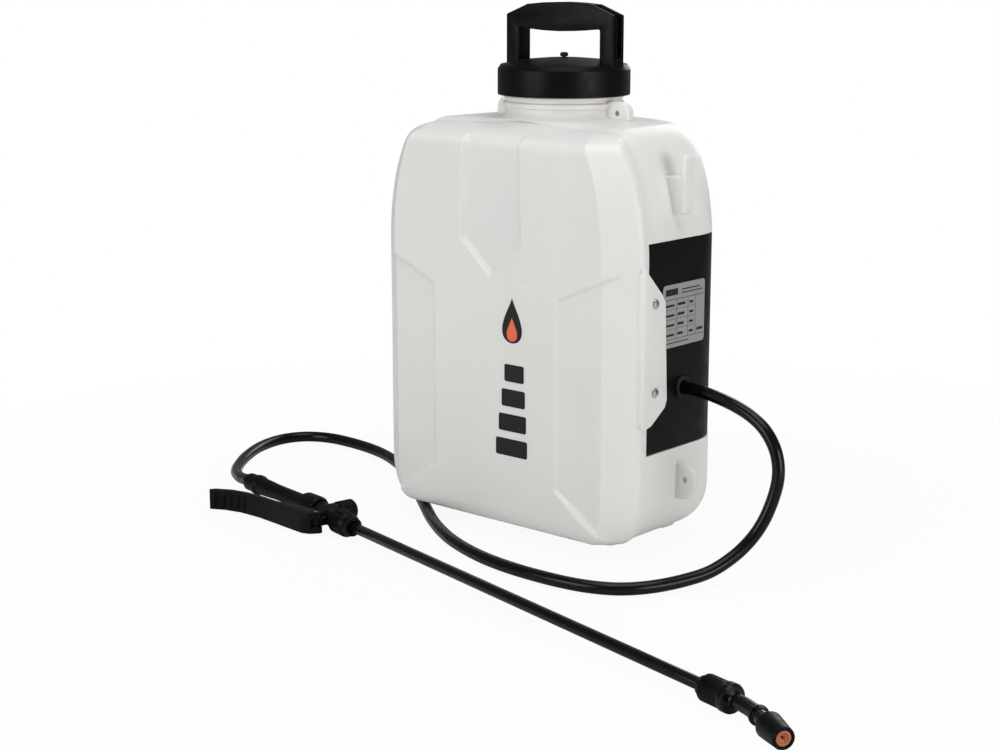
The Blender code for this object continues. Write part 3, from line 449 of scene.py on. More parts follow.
def plan_points(inset, fine):
    """Tank outline seen from above, anticlockwise from the middle of the front."""
    face = FACE_HALF - inset * 0.5
    side_f = SIDE_FRONT - inset
    side_b = SIDE_BACK - inset
    front = FRONT_Y + inset
    back = BACK_Y - inset
    radius = BACK_R - inset
    step = 0.0012 if fine else 0.008
    count = int((face - 0.004) / step)
    right = [((face - 0.004) * k / count, front) for k in range(1, count + 1)]
    corner = [(face - 0.004, front), (face, front), (side_f, CHAMFER_Y), (side_f - 0.0004, CHAMFER_Y + 0.012)]
    edge = soften(corner, 0.010, 8 if fine else 3, closed=False)[1:]
    right += [p for p in edge if p[0] > face - 0.0039]
    for k in range(1, 22 if fine else 5):
        t = k / (22 if fine else 5)
        start = CHAMFER_Y + 0.012
        right.append((side_f - 0.0004 + (side_b - side_f + 0.0004) * t, start + (back - radius - start) * t))
    turns = 28 if fine else 8
    for k in range(turns + 1):
        a = math.radians(90.0 * k / turns)
        right.append((side_b - radius + radius * math.cos(a), back - radius + radius * math.sin(a)))
    flat = 16 if fine else 4
    right += [((side_b - radius) * (1 - k / flat), back) for k in range(1, flat)]
    if fine:
        dense = right[:1]
        for (x0, y0), (x1, y1) in zip(right, right[1:]):
            parts = max(1, int(math.hypot(x1 - x0, y1 - y0) / 0.0018))
            dense += [(x0 + (x1 - x0) * k / parts, y0 + (y1 - y0) * k / parts) for k in range(1, parts + 1)]
        right = dense
    left = [(-x, y) for x, y in reversed(right)]
    return np.array([(0.0, front)] + right + [(0.0, back)] + left)


def squeeze(z):
    """How far the side, front and back are drawn in at a height."""
    low = max(0.0, min(1.0, (0.050 - z) / 0.036))
    low_front = max(0.0, min(1.0, (0.030 - z) / 0.016))
    side = 0.020 * (1.0 - math.sqrt(1.0 - low ** 2))
    front = 0.010 * (1.0 - math.sqrt(1.0 - low_front ** 2))
    back = 0.012 * (1.0 - math.sqrt(1.0 - low ** 2))
    high = max(0.0, min(1.0, (z - 0.272) / (DECK_Z - 0.272)))
    side += 0.052 * (1.0 - math.sqrt(1.0 - high ** 2))
    high_back = max(0.0, min(1.0, (z - 0.350) / (DECK_Z - 0.350)))
    back += 0.020 * (1.0 - math.sqrt(1.0 - high_back ** 2))
    table = [(0.0, 0.0), (0.3710, 0.0), (0.3755, 0.0008), (0.3790, 0.0034), (0.3815, 0.0074), (0.3865, 0.0185),
             (0.3900, 0.0300), (DECK_Z, 0.0400)]
    for (z0, f0), (z1, f1) in zip(table, table[1:]):
        if z0 <= z <= z1:
            front += f0 + (f1 - f0) * (z - z0) / (z1 - z0)
    return side, front, back


def tank_rows(inset, fine):
    plan = plan_points(inset, fine)
    reach = np.where(plan[:, 1] < 0, -FRONT_Y, BACK_Y)
    heights = [BODY_Z + 0.036 * (1 - math.cos(math.radians(90 * k / 14))) for k in range(14)]
    step = 0.0013 if fine else 0.012
    count = int((BEND_HIGH - BEND_LOW) / step)
    heights += [BEND_LOW + (BEND_HIGH - BEND_LOW) * k / count for k in range(count)]
    heights += [BEND_HIGH + (DECK_Z - BEND_HIGH) * math.sin(math.radians(90 * k / 26)) for k in range(27)]
    rows = []
    for z in heights:
        side, front, back = squeeze(z)
        lift = inset if z < 0.10 else -inset if z > 0.3 else 0.0
        tuck = max(0.0, min(1.0, (0.064 - z) / 0.050))
        tuck = 0.016 * (1.0 - math.sqrt(1.0 - tuck ** 2)) * np.clip((plan[:, 1] + 0.092) / 0.030, 0.0, 1.0)
        x = plan[:, 0] * (1 - (side + tuck) / SIDE_FRONT)
        y = plan[:, 1] * (1 - np.where(plan[:, 1] < 0, front, back) / reach)
        rows.append(np.stack([x, y, np.full(len(x), z + lift)], 1))
    return rows


def ring_rows(last, rows):
    """Rings blending from an outline to circles: rows are (share, radius, z)."""
    span = np.hypot(last[:, 0], last[:, 1])
    out = []
    for share, radius, z in rows:
        circle = last[:, :2] * (radius / span)[:, None]
        flat = last[:, :2] * (1 - share) + circle * share
        out.append(np.concatenate([flat, np.full((len(last), 1), z)], 1))
    return out


def grid_solid(rows):
    n = len(rows[0])
    verts = np.concatenate(rows)
    faces = []
    for k in range(len(rows) - 1):
        for i in range(n):
            j = (i + 1) % n
            faces.append((k * n + i, k * n + j, (k + 1) * n + j, (k + 1) * n + i))
    faces.append(tuple(range(n))[::-1])
    faces.append(tuple((len(rows) - 1) * n + i for i in range(n)))
    return verts, faces


def signed_distance(px, pz, polygon):
    """Distance to a polygon's edge, positive inside."""
    best = np.full(len(px), 1e9)
    inside = np.zeros(len(px), bool)
    for k in range(len(polygon)):
        ax, az = polygon[k]
        bx, bz = polygon[(k + 1) % len(polygon)]
        ex, ez = bx - ax, bz - az
        t = np.clip(((px - ax) * ex + (pz - az) * ez) / (ex * ex + ez * ez), 0, 1)
        best = np.minimum(best, np.hypot(px - ax - t * ex, pz - az - t * ez))
        crosses = (az > pz) != (bz > pz)
        inside ^= crosses & (px < ex * (pz - az) / (ez if ez else 1e-12) + ax)
    return np.where(inside, best, -best)


def step_up(value, low, high):
    t = np.clip((value - low) / (high - low), 0, 1)
    return t * t * (3 - 2 * t)


def waviness(x, z):
    """Slow unevenness of a blown wall, 0 to about 0.5 mm inwards."""
    total = np.sin(31 * x + 17 * z) + np.sin(-23 * x + 41 * z + 1.3) + 0.6 * np.sin(57 * x + 9 * z + 2.1)
    return 0.00009 * (2.6 + total)


def sink(co):
    """How far each point of the tank lies below the plain shape."""
    x, y, z = co[:, 0], co[:, 1], co[:, 2]
    on_front = step_up(-y, 0.0935, 0.0975) * step_up(z, 0.012, 0.020)
    wall = 0.0022
    shield = step_up(signed_distance(x, z, SHIELD), -wall, wall) * step_up(-y, 0.0900, 0.0965)
    wing = step_up(signed_distance(np.abs(x), z, WING), -wall, wall)
    wing *= step_up(-y, 0.0840, 0.0960)
    depth = 0.0028 * shield + 0.0021 * wing
    for cx, cz in DOTS:
        depth -= 0.0007 * np.exp(-((x - cx) ** 2 + (z - cz) ** 2) / 0.0016 ** 2) * on_front
    depth += waviness(x + 0.6 * y, z) * step_up(z, 0.02, 0.06) * (1 - step_up(z, 0.36, 0.39))
    away = step_up(np.hypot(x, y), 0.066, 0.090)
    valley = np.exp(-((y - VALLEY_Y) / 0.0065) ** 2) * step_up(z, 0.295, 0.352) * away
    depth += 0.0030 * valley
    dimple = np.exp(-(((y + 0.033) ** 2 + (z - 0.306) ** 2) / 0.0035 ** 2)) * (np.abs(x) > 0.12)
    return depth + 0.0012 * dimple


rows = tank_rows(0.0, True)
deck = rows[-1]
rows += ring_rows(deck, [(0.12, NECK_R + 0.010, DECK_Z + 0.0007), (0.26, NECK_R + 0.010, DECK_Z + 0.0012),
                         (0.42, NECK_R + 0.009, DECK_Z + 0.0016), (0.60, NECK_R + 0.008, DECK_Z + 0.0019),
                         (0.78, NECK_R + 0.006, DECK_Z + 0.0022), (0.92, NECK_R + 0.005, DECK_Z + 0.0027),
                         (1.0, NECK_R + 0.0032, DECK_Z + 0.0036), (1.0, NECK_R + 0.0014, DECK_Z + 0.0052),
                         (1.0, NECK_R + 0.0004, DECK_Z + 0.0068)])
neck = soften([(NECK_R, 0.4000), (NECK_R, 0.4036), (NECK_R + 0.0022, 0.4044), (NECK_R + 0.0022, 0.4086),
               (NECK_R, 0.4096), (NECK_R, 0.4122), (NECK_R + 0.0012, 0.4127), (NECK_R + 0.0012, 0.4142),
               (NECK_R, 0.4150), (NECK_R, 0.4200)], 0.0006, 4, closed=False)
rows += ring_rows(deck, [(1.0, r, z) for r, z in neck])
rows += ring_rows(deck, [(1.0, NECK_R, 0.4200 + 0.0005 * k) for k in range(1, 33)])
rows += ring_rows(deck, [(1.0, NECK_R - 0.0003, NECK_TOP - 0.0004), (1.0, NECK_R - 0.0008, NECK_TOP)])
tank = piece("tank_shell", *grid_solid(rows), sharp=40.0)
count = len(tank.data.vertices)
flat = np.zeros(count * 3)
tank.data.vertices.foreach_get("co", flat)
co = flat.reshape(-1, 3)
normals = np.zeros(count * 3)
tank.data.vertices.foreach_get("normal", normals)
co -= normals.reshape(-1, 3) * sink(co)[:, None]
angle = np.arctan2(co[:, 1], co[:, 0])
thread = np.maximum(0.0, np.cos((co[:, 2] - 0.4270) * 2 * math.pi / 0.008 - angle)) ** 3
on_thread = step_up(co[:, 2], 0.4170, 0.4190) * (1 - step_up(co[:, 2], 0.4335, 0.4355))
span = np.hypot(co[:, 0], co[:, 1])
grow = 1 + 0.0017 * thread * on_thread / np.maximum(span, 1e-6)
co[:, :2] *= grow[:, None]
tank.data.vertices.foreach_set("co", co.ravel())
tank.data.update()

inner = tank_rows(0.0055, False)
inner += ring_rows(inner[-1], [(0.5, NECK_R - 0.001, DECK_Z - 0.0045), (1.0, NECK_R - 0.0035, DECK_Z - 0.0030),
                               (1.0, NECK_R - 0.0035, NECK_TOP + 0.02)])
BAY_HALF = 0.1160
BAY_FRONT = -0.0680
BAY_BACK = 0.0140
BAY_GAP = 0.0006        # between the tank's bay and the casing


def bay(half, front, back, far=0.30):
    """Outline, from above, of all that lies beside and behind the tank's narrow middle."""
    return [(half, front), (far, front), (far, far), (-far, far), (-far, front), (-half, front), (-half, back),
            (half, back)]


cavity = piece("cavity", *grid_solid(inner))
carve(cavity, plate(bay(0.1130, -0.0710, 0.0110, 0.33), "Z", 0.0970, 0.2965))
carve(tank, plate(soften(bay(BAY_HALF, BAY_FRONT, BAY_BACK), 0.0030, 5), "Z", 0.1000, 0.2935), sharp=30.0)
carve(tank, taken(cavity), sharp=30.0)


def mirrored(outline, sign):
    return [(sign * a, b) for a, b in outline]


FLANGE = [(-0.0785, 0.2722), (-0.0765, 0.2714), (-0.0530, 0.2475), (-0.0480, 0.2400), (-0.0437, 0.1500),
          (-0.0465, 0.1430), (-0.0665, 0.1290), (-0.0785, 0.1262)]
FLANGE_ROOT = [(-0.0790, 0.2700), (-0.0690, 0.2640), (-0.0690, 0.1350), (-0.0790, 0.1290)]
EAR = [(0.0535, 0.3890), (0.0795, 0.3890), (0.0818, 0.3960), (0.0812, 0.4040), (0.0775, 0.4090), (0.0715, 0.4113),
       (0.0535, 0.4113)]
HOOK = [(0.1380, 0.3170), (0.1600, 0.3160), (0.1636, 0.3180), (0.1652, 0.3230), (0.1660, 0.3670),
        (0.1646, 0.3702), (0.1628, 0.3702), (0.1616, 0.3670), (0.1612, 0.3500), (0.1380, 0.3500)]
LUG = [(0.1420, 0.0500), (0.1690, 0.0520), (0.1755, 0.0610), (0.1775, 0.0655), (0.1775, 0.0770),
       (0.1750, 0.0800), (0.1610, 0.0860), (0.1420, 0.0870)]
HOLES = [((0.1660, 0.0705), 0.0030), ((0.0680, 0.4005), 0.0026)]
moulded = [bevelled(*plate(soften(FLANGE_ROOT, 0.002), "X", 0.1500, 0.1608), 0.0005),
           bevelled(*plate(soften(FLANGE, 0.003), "X", 0.1570, 0.1615), 0.0011, 3)]
for sign in (1, -1):
    moulded.append(bevelled(*plate(soften(mirrored(EAR, sign), 0.0045, 6), "Y", -0.0042, 0.0042), 0.0012, 3))
    moulded.append(bevelled(*plate(soften(mirrored(LUG, sign), 0.0030, 5), "Y", -0.0200, -0.0130), 0.0014, 3))
    for y0, y1 in ((-0.0500, -0.0240), (0.0280, 0.0540)):
        pad = soften([(sign * 0.060, y0), (sign * 0.104, y0), (sign * 0.104, y1), (sign * 0.060, y1)], 0.010, 6)
        moulded.append(bevelled(*plate(pad, "Z", 0.0, 0.0175), 0.0020, 3))
pad = soften([(-0.025, -0.025), (0.025, -0.025), (0.025, 0.020), (-0.025, 0.020)], 0.010, 6)
moulded.append(bevelled(*plate(pad, "Z", 0.0, 0.0175), 0.0020, 3))
moulded.append(bevelled(*plate(soften(HOOK, 0.0018, 5), "Y", -0.0285, -0.0150), 0.0014, 3))
for shape in moulded:
    carve(tank, shape, "UNION", sharp=30.0)
for (x, z), radius in HOLES:
    for sign in (1, -1):
        at = Matrix.Translation((sign * x, 0, z)) @ ALONG_Y
        carve(tank, turned(rod(radius, -0.03, 0.02, 0), at, 32), sharp=30.0)
SCREWS = ((-0.0625, 0.2400), (-0.0615, 0.1590))
for y, z in SCREWS:
    at = Matrix.Translation((0, y, z)) @ ALONG_X
    carve(tank, turned(rod(0.0024, 0.1560, 0.1700, 0), at, 32), sharp=30.0)
    carve(tank, turned([(0, 0.1610), (0.0046, 0.1610), (0.0056, 0.1622), (0, 0.1622)], at, 32), sharp=30.0)
carve(tank, turned(rod(0.0090, 0.0, 0.030, 0), Matrix.Translation((0.030, 0, 0.1180)) @ ALONG_Y, 32), sharp=30.0)
stands_for(tank, "tank", TANK)


def front_y(x, z):
    """The tank's front face at a point of the print."""
    here = np.array([[x, FRONT_Y, z]])
    return FRONT_Y + float(sink(here)[0])


def printed(name, outlines, mat, lift=0.00018):
    """Thin print that follows the front face."""
    verts = []
    faces = []
    for outline in outlines:
        base = len(verts)
        n = len(outline)
        for depth in (-lift, 0.0008):
            verts += [Vector((x, front_y(x, z) + depth, z)) for x, z in outline]
        triangles = tessellate_polygon([[Vector((x, z, 0)) for x, z in outline]])
        for t in triangles:
            faces.append(tuple(base + i for i in t))
            faces.append(tuple(base + n + i for i in reversed(t)))
        for i in range(n):
            j = (i + 1) % n
            faces.append((base + i, base + j, base + n + j, base + n + i))
    return extra(piece(name, verts, faces), "stand", mat)


def drop(cx, cz, size):
    """A plain water drop, point up."""
    out = []
    for k in range(48):
        a = 2 * math.pi * k / 48
        pinch = abs(math.sin(a / 2.0)) ** 1.6
        out.append((cx + size * 0.62 * math.sin(a) * pinch, cz + size * (0.25 + 0.75 * math.cos(a))))
    return out


bars = []
for k in range(4):
    z0 = 0.0835 + 0.0238 * k
    right = 0.0425 - 0.0015 * k
    left = right - 0.0390 + 0.0050 * k
    bars.append(soften([(left, z0), (right, z0), (right, z0 + 0.0165), (left, z0 + 0.0165)], 0.0022, 5))
printed("front_bars", bars, PRINT)
printed("front_drop", [drop(0.0235, 0.2060, 0.0285)], PRINT)
printed("front_drop_core", [drop(0.0235, 0.2010, 0.0150)], ORANGE, 0.00030)


def ease(obj, width, limit=50.0, steps=2, sharp=35.0):
    """Rounds the sharp edges of a finished piece."""
    bm = bmesh.new()
    bm.from_mesh(obj.data)
    bmesh.ops.dissolve_limit(bm, angle_limit=math.radians(0.5), verts=bm.verts, edges=bm.edges)
    edges = [e for e in bm.edges if e.is_manifold and e.calc_face_angle(0.0) > math.radians(limit)]
    bmesh.ops.bevel(bm, geom=edges, offset=width, segments=steps, profile=0.5, affect="EDGES", clamp_overlap=True)
    bm.to_mesh(obj.data)
    bm.free()
    obj.data.shade_smooth()
    obj.data.set_sharp_from_angle(angle=math.radians(sharp))
    return obj


# ---------------------------------------------------------------- pump casing
def case_prism(inset, low, high):
    plan = plan_points(inset, True)[::2]
    return grid_solid([np.concatenate([plan, np.full((len(plan), 1), z)], 1) for z in (low, high)])


case = piece("pump_cover", *case_prism(0.0010, 0.08, 0.32))
fit = bay(BAY_HALF + BAY_GAP, BAY_FRONT + BAY_GAP, BAY_BACK + BAY_GAP)
carve(case, plate(soften(fit, 0.0028, 5), "Z", 0.1006, 0.2929), "INTERSECT")
ease(case, 0.0009, 55.0, 3)
room = piece("room", *case_prism(0.0035, 0.1030, 0.2905))
carve(room, plate(bay(0.1080, -0.0644, 0.0080), "Z", 0.05, 0.35), "INTERSECT")
carve(case, taken(room))
INTO_KNOB = Matrix.Translation((0, -0.020, 0.2050)) @ ALONG_X
for low, high in (((-0.20, 0.0170, 0.1115), (-0.09, 0.0620, 0.1905)),
                  ((-0.17, -0.0315, 0.2335), (-0.14, -0.0085, 0.2665))):
    carve(case, bevelled(*block(low, high), 0.0015, 3))
carve(case, turned(rod(0.0040, -0.17, -0.14, 0), INTO_KNOB, 32))
carve(case, turned(rod(0.0095, 0.14, 0.17, 0), INTO_BOSS, 40))
for y, z in SCREWS:
    carve(case, turned(rod(0.0024, 0.1480, 0.1700, 0), Matrix.Translation((0, y, z)) @ ALONG_X, 24))
stands_for(case, "pump_casing", CASE)

bush_rows = soften([(0.0064, 0.1506), (0.0090, 0.1506), (0.0090, 0.1558), (0.0104, 0.1558), (0.0100, 0.1580),
                    (0.0086, 0.1584), (0.0080, 0.1576), (0.0064, 0.1580)], 0.0005, 3)
stands_for(piece("hose_grommet", *turned(bush_rows, INTO_BOSS, 64)), "hose_bush", RUBBER)
# rating plate: plain foil with ruled lines, no wording
PLATE_AT = Matrix.Translation((0.1553, -0.0130, 0.2243)) @ Matrix.Rotation(math.radians(1.9), 4, "Z")
outline = soften([(-0.0330, -0.0290), (0.0330, -0.0290), (0.0330, 0.0290), (-0.0330, 0.0290)], 0.0040, 6)
foil = bevelled(*plate(outline, "X", 0.0, 0.0006, PLATE_AT), 0.00015, 1)
stands_for(piece("rating_foil", *foil), "rating_plate", LABEL)
ruled = []
for z in (0.0150, -0.0215):
    ruled.append((-0.0310, z, 0.0310, z + 0.0005))
for y in (-0.0120, 0.0060, 0.0180):
    ruled.append((y, -0.0215, y + 0.0004, 0.0150))
for z in (0.0060, -0.0030, -0.0120):
    ruled.append((-0.0310, z, 0.0180, z + 0.0003))
ruled += [(-0.0040, 0.0225, 0.0240, 0.0236), (-0.0040, 0.0195, 0.0290, 0.0204), (-0.0290, 0.0190, -0.0100, 0.0250)]
for row in range(4):
    z = 0.0088 - 0.0090 * row
    ruled += [(-0.0290, z, -0.0150, z + 0.0020), (-0.0100, z, 0.0020 - 0.0012 * row, z + 0.0024)]
    ruled += [(0.0085, z, 0.0145, z + 0.0022)]
ruled += [(0.0205, -0.0180, 0.0300, -0.0155), (-0.0290, -0.0252, 0.0080, -0.0243)]
verts = []
faces = []
for y0, z0, y1, z1 in ruled:
    base = len(verts)
    shape = plate([(y0, z0), (y1, z0), (y1, z1), (y0, z1)], "X", 0.0003, 0.00068, PLATE_AT)
    verts += shape[0]
    faces += [tuple(base + i for i in f) for f in shape[1]]
extra(piece("plate_ruling", verts, faces), "stand", PRINT)

for k, (y, z) in enumerate(SCREWS):
    at = Matrix.Translation((0, y, z)) @ ALONG_X
    head = soften([(0, 0.1500), (0.0019, 0.1500), (0.0019, 0.1612), (0.0042, 0.1612), (0.0042, 0.1622),
                   (0.0030, 0.1634), (0, 0.1638)], 0.0004, 4, closed=False)
    screw = piece("pan_screw_%d" % (k + 1), *turned(head, at, 48))
    twist = at @ Matrix.Rotation(math.radians(22.0 + 31.0 * k), 4, "Z")
    for wide, tall in ((0.0021, 0.00045), (0.00045, 0.0021)):
        carve(screw, block((-wide, -tall, 0.1627), (wide, tall, 0.1660), twist))
    stands_for(screw, "flange_screw_%d" % (k + 1), STEEL)

# ---------------------------------------------------------------- controls on the far side
knob_rows = soften([(0, -0.1604), (0.0105, -0.1604), (0.0105, -0.1614), (0.0097, -0.1715), (0.0084, -0.1732),
                    (0, -0.1735)], 0.0006, 4, closed=False)
knob = piece("dial_knob", *turned(knob_rows, INTO_KNOB, 120, (20, 0.0006, -0.1716, -0.1620, 0.6)))
carve(knob, bevelled(*block((-0.1760, -0.0207, 0.2065), (-0.1730, -0.0193, 0.2142)), 0.0003))
stands_for(knob, "speed_knob", BLACK)
bezel_rows = soften([(0.0112, -0.1535), (0.0158, -0.1535), (0.0158, -0.1556), (0.0112, -0.1556)], 0.0003, 2)
extra(piece("dial_bezel", *turned(bezel_rows, INTO_KNOB, 72)), "stand", PACK)
rim = soften([(-0.0335, 0.2310), (-0.0065, 0.2310), (-0.0065, 0.2690), (-0.0335, 0.2690)], 0.0030, 5)
rocker_frame = piece("switch_frame", *bevelled(*plate(rim, "X", -0.1590, -0.1573), 0.0006, 3))
carve(rocker_frame, block((-0.1580, -0.0310, 0.2340), (-0.1400, -0.0090, 0.2660)), "UNION")
carve(rocker_frame, block((-0.1700, -0.0285, 0.2370), (-0.1440, -0.0115, 0.2630)))
stands_for(rocker_frame, "rocker_frame", BLACK)
rocker_outline = soften([(-0.1475, 0.2420), (-0.1475, 0.2580), (-0.1565, 0.2608), (-0.1612, 0.2608),
                         (-0.1588, 0.2500), (-0.1600, 0.2392), (-0.1565, 0.2392)], 0.0010, 4)
rocker = piece("switch_rocker", *bevelled(*plate(rocker_outline, "Y", -0.0280, -0.0120), 0.0007, 3))
carve(rocker, bevelled(*block((-0.1650, -0.0206, 0.2545), (-0.1594, -0.0194, 0.2590)), 0.0002))
stands_for(rocker, "power_rocker", RED)
pack_outline = soften([(0.0190, 0.1135), (0.0600, 0.1135), (0.0600, 0.1885), (0.0190, 0.1885)], 0.0060, 6)
pack = piece("battery_block", *bevelled(*plate(pack_outline, "X", -0.1260, -0.0145), 0.0016, 4))
carve(pack, block((-0.0260, 0.0360, 0.1340), (-0.0100, 0.0440, 0.1680)))
carve(pack, bevelled(*block((-0.1400, 0.0310, 0.1700), (-0.1180, 0.0490, 0.1795)), 0.0010))
for k in range(7):
    z = 0.1210 + 0.0060 * k
    carve(pack, bevelled(*block((-0.1300, 0.0260, z), (-0.1250, 0.0530, z + 0.0024)), 0.0004))
stands_for(pack, "battery_pack", PACK)
button = bevelled(*block((-0.1275, 0.0314, 0.1704), (-0.1225, 0.0486, 0.1791)), 0.0008, 3)
stands_for(piece("release_button", *button), "battery_button", RED)

# ---------------------------------------------------------------- lid
HANDLE_TURN = Matrix.Rotation(math.radians(4.6), 4, "Z")
LID_R = 0.0629
lid_rows = soften([(0.0590, 0.4150), (LID_R, 0.4150), (LID_R, 0.4392), (0.0600, 0.4436), (0.0545, 0.4446),
                   (0.0350, 0.4480), (0.0180, 0.4494), (0.0042, 0.4500), (0.0018, 0.4500), (0.0018, 0.4470),
                   (0.0340, 0.4450), (0.0480, 0.4412), (0.0590, 0.4412)], 0.0014, 5)
lid = piece("screw_lid", *turned(lid_rows, n=160))
ARCH = [(-0.0615, 0.4395), (-0.0615, 0.4895), (-0.0370, 0.4990), (-0.0180, 0.5006), (0.0, 0.5011), (0.0180, 0.5006),
        (0.0370, 0.4990), (0.0615, 0.4895), (0.0615, 0.4395)]
WINDOW = [(0.0466, 0.4300), (0.0466, 0.4768), (0.0330, 0.4757), (0.0180, 0.4745), (0.0, 0.4740), (-0.0180, 0.4745),
          (-0.0330, 0.4757), (-0.0466, 0.4768), (-0.0466, 0.4300)]
GROOVE = [(0.0560, 0.4500), (0.0560, 0.4858), (0.0330, 0.4950), (0.0360, 0.5100), (0.0700, 0.5100), (0.0700, 0.4500)]
handle = piece("handle", *plate(soften(ARCH, 0.0015, 4), "Y", -0.0095, 0.0095, HANDLE_TURN))
carve(handle, plate(soften(WINDOW, 0.0025, 5), "Y", -0.03, 0.03, HANDLE_TURN))
for sign in (1, -1):
    carve(handle, plate(mirrored(GROOVE, sign), "Y", -0.0058, 0.0058, HANDLE_TURN))
ease(handle, 0.0011, 40.0, 3)
carve(handle, turned(rod(0.0600, 0.40, 0.4427, 0), n=96))
carve(lid, taken(handle), "UNION")
stands_for(lid, "lid", BLACK)
vent_rows = soften([(0, 0.4440), (0.0040, 0.4440), (0.0040, 0.4462), (0.0014, 0.4462), (0.0014, 0.4504),
                    (0.0036, 0.4506), (0.0040, 0.4532), (0.0026, 0.4545), (0, 0.4545)], 0.0006, 4, closed=False)
stands_for(piece("vent_button", *turned(vent_rows, n=48)), "vent_valve", RUBBER)

# ---------------------------------------------------------------- handset
nut_rows = soften([(0.0070, -0.1530), (0.0082, -0.1530), (0.0090, -0.1515), (0.0090, -0.1390), (0.0070, -0.1390)],
                  0.0005, 3)
stands_for(piece("hose_end_nut", *turned(nut_rows, INTO_HANDSET, 144, (18, 0.0007, -0.1512, -0.1396, 0.55))),
           "hose_nut", BLACK)
grip_rows = soften([(0.0070, -0.1380), (0.0103, -0.1380), (0.0104, -0.1325), (0.0090, -0.1290), (0.0087, -0.1180),
                    (0.0079, -0.1000), (0.0077, -0.0620), (0.0082, -0.0490), (0.0113, -0.0462), (0.0118, -0.0440),
                    (0.0118, -0.0250), (0.0100, -0.0225), (0.0084, -0.0225), (0.0084, -0.0400), (0.0056, -0.0400),
                    (0.0056, -0.1270), (0.0070, -0.1270)], 0.0010, 4)
grip = piece("grip_sleeve", *turned(grip_rows, INTO_HANDSET, 144, (24, 0.0004, -0.0432, -0.0262, 0.70)))
stands_for(grip, "grip_barrel", BLACK)
valve = piece("valve_block", *turned(rod(0.0098, -0.0185, 0.0060, 0.0010), ACROSS, 64))
carve(valve, turned(rod(0.0088, 0.0, 0.0125, 0.0004), ACROSS, 64), "UNION")
carve(valve, turned(rod(0.0080, -0.0390, -0.0020, 0.0006), INTO_HANDSET, 56), "UNION")
carve(valve, turned(rod(0.0086, -0.0300, 0.0040, 0.0006), INTO_LANCE, 56), "UNION")
EAR_PLATE = [(0.0014, -0.0120), (0.0104, -0.0100), (0.0165, -0.0200), (0.0165, -0.0300), (0.0125, -0.0335),
             (0.0080, -0.0325), (0.0042, -0.0240)]
ear_shape = bevelled(*plate(soften(EAR_PLATE, 0.0020), "Z", -0.0033, 0.0033, HANDSET), 0.0005)
carve(valve, ear_shape, "UNION")
for shape in (turned(rod(0.0074, -0.0050, 0.0200, 0), ACROSS, 40), turned(rod(0.0026, -0.0300, 0.0, 0), ACROSS, 32),
              turned(rod(0.0040, -0.0500, -0.0050, 0), INTO_HANDSET, 32),
              turned(rod(0.0030, -0.0285, 0.0100, 0), INTO_LANCE, 32)):
    carve(valve, shape)
PIN_AT = HANDSET @ Matrix.Translation((0.0120, -0.0280, 0))
carve(valve, turned(rod(0.00225, -0.02, 0.02, 0), PIN_AT, 32))
stands_for(valve, "valve_body", BLACK)
stands_for(piece("hinge_pin", *turned(rod(0.0020, -0.0102, 0.0102, 0.0004), PIN_AT, 40)), "lever_pin", STEEL)
OUTER_EDGE = [(-0.1225, -0.0680), (-0.1080, -0.0570), (-0.0900, -0.0495), (-0.0650, -0.0450), (-0.0420, -0.0435),
              (-0.0200, -0.0425), (0.0060, -0.0410), (0.0140, -0.0370), (0.0190, -0.0280)]
INNER_EDGE = [(0.0185, -0.0245), (0.0060, -0.0235), (-0.0100, -0.0270), (-0.0240, -0.0290), (-0.0300, -0.0345),
              (-0.0440, -0.0370), (-0.0650, -0.0385), (-0.0880, -0.0425), (-0.1060, -0.0495), (-0.1195, -0.0600)]
lever_outline = soften(OUTER_EDGE + INNER_EDGE, 0.0045, 5)
lever = piece("squeeze_lever", *plate(lever_outline, "Z", -0.0103, 0.0103, HANDSET))
ease(lever, 0.0009, 60.0, 3)
CHANNEL = [(-0.0235, -0.0100), (-0.0235, -0.0330), (-0.0160, -0.0352), (0.0300, -0.0352), (0.0300, -0.0100)]
carve(lever, plate(CHANNEL, "Z", -0.0040, 0.0040, HANDSET))
carve(lever, turned(rod(0.00225, -0.02, 0.02, 0), PIN_AT, 32))
for k in range(5):
    x = -0.1150 + 0.0078 * k
    y = float(np.interp(x, [p[0] for p in OUTER_EDGE], [p[1] for p in OUTER_EDGE]))
    rib = HANDSET @ Matrix.Translation((x, y - 0.0004, 0)) @ Matrix.Rotation(math.radians(8.0), 4, "Y")
    carve(lever, turned(rod(0.0018, -0.0068, 0.0068, 0.0009), rib, 24))
stands_for(lever, "trigger_lever", BLACK)
cap_rows = soften([(0, 0.0150), (0.0068, 0.0150), (0.0068, 0.0130), (0.0091, 0.0130), (0.0091, 0.0066),
                   (0.0104, 0.0066), (0.0104, 0.0232), (0.0088, 0.0250), (0, 0.0254)], 0.0006, 3, closed=False)
valve_cap = piece("valve_cap", *turned(cap_rows, ACROSS, 144, (12, 0.0008, 0.0072, 0.0238, 0.72)))
stands_for(valve_cap, "spring_cap", BLACK)

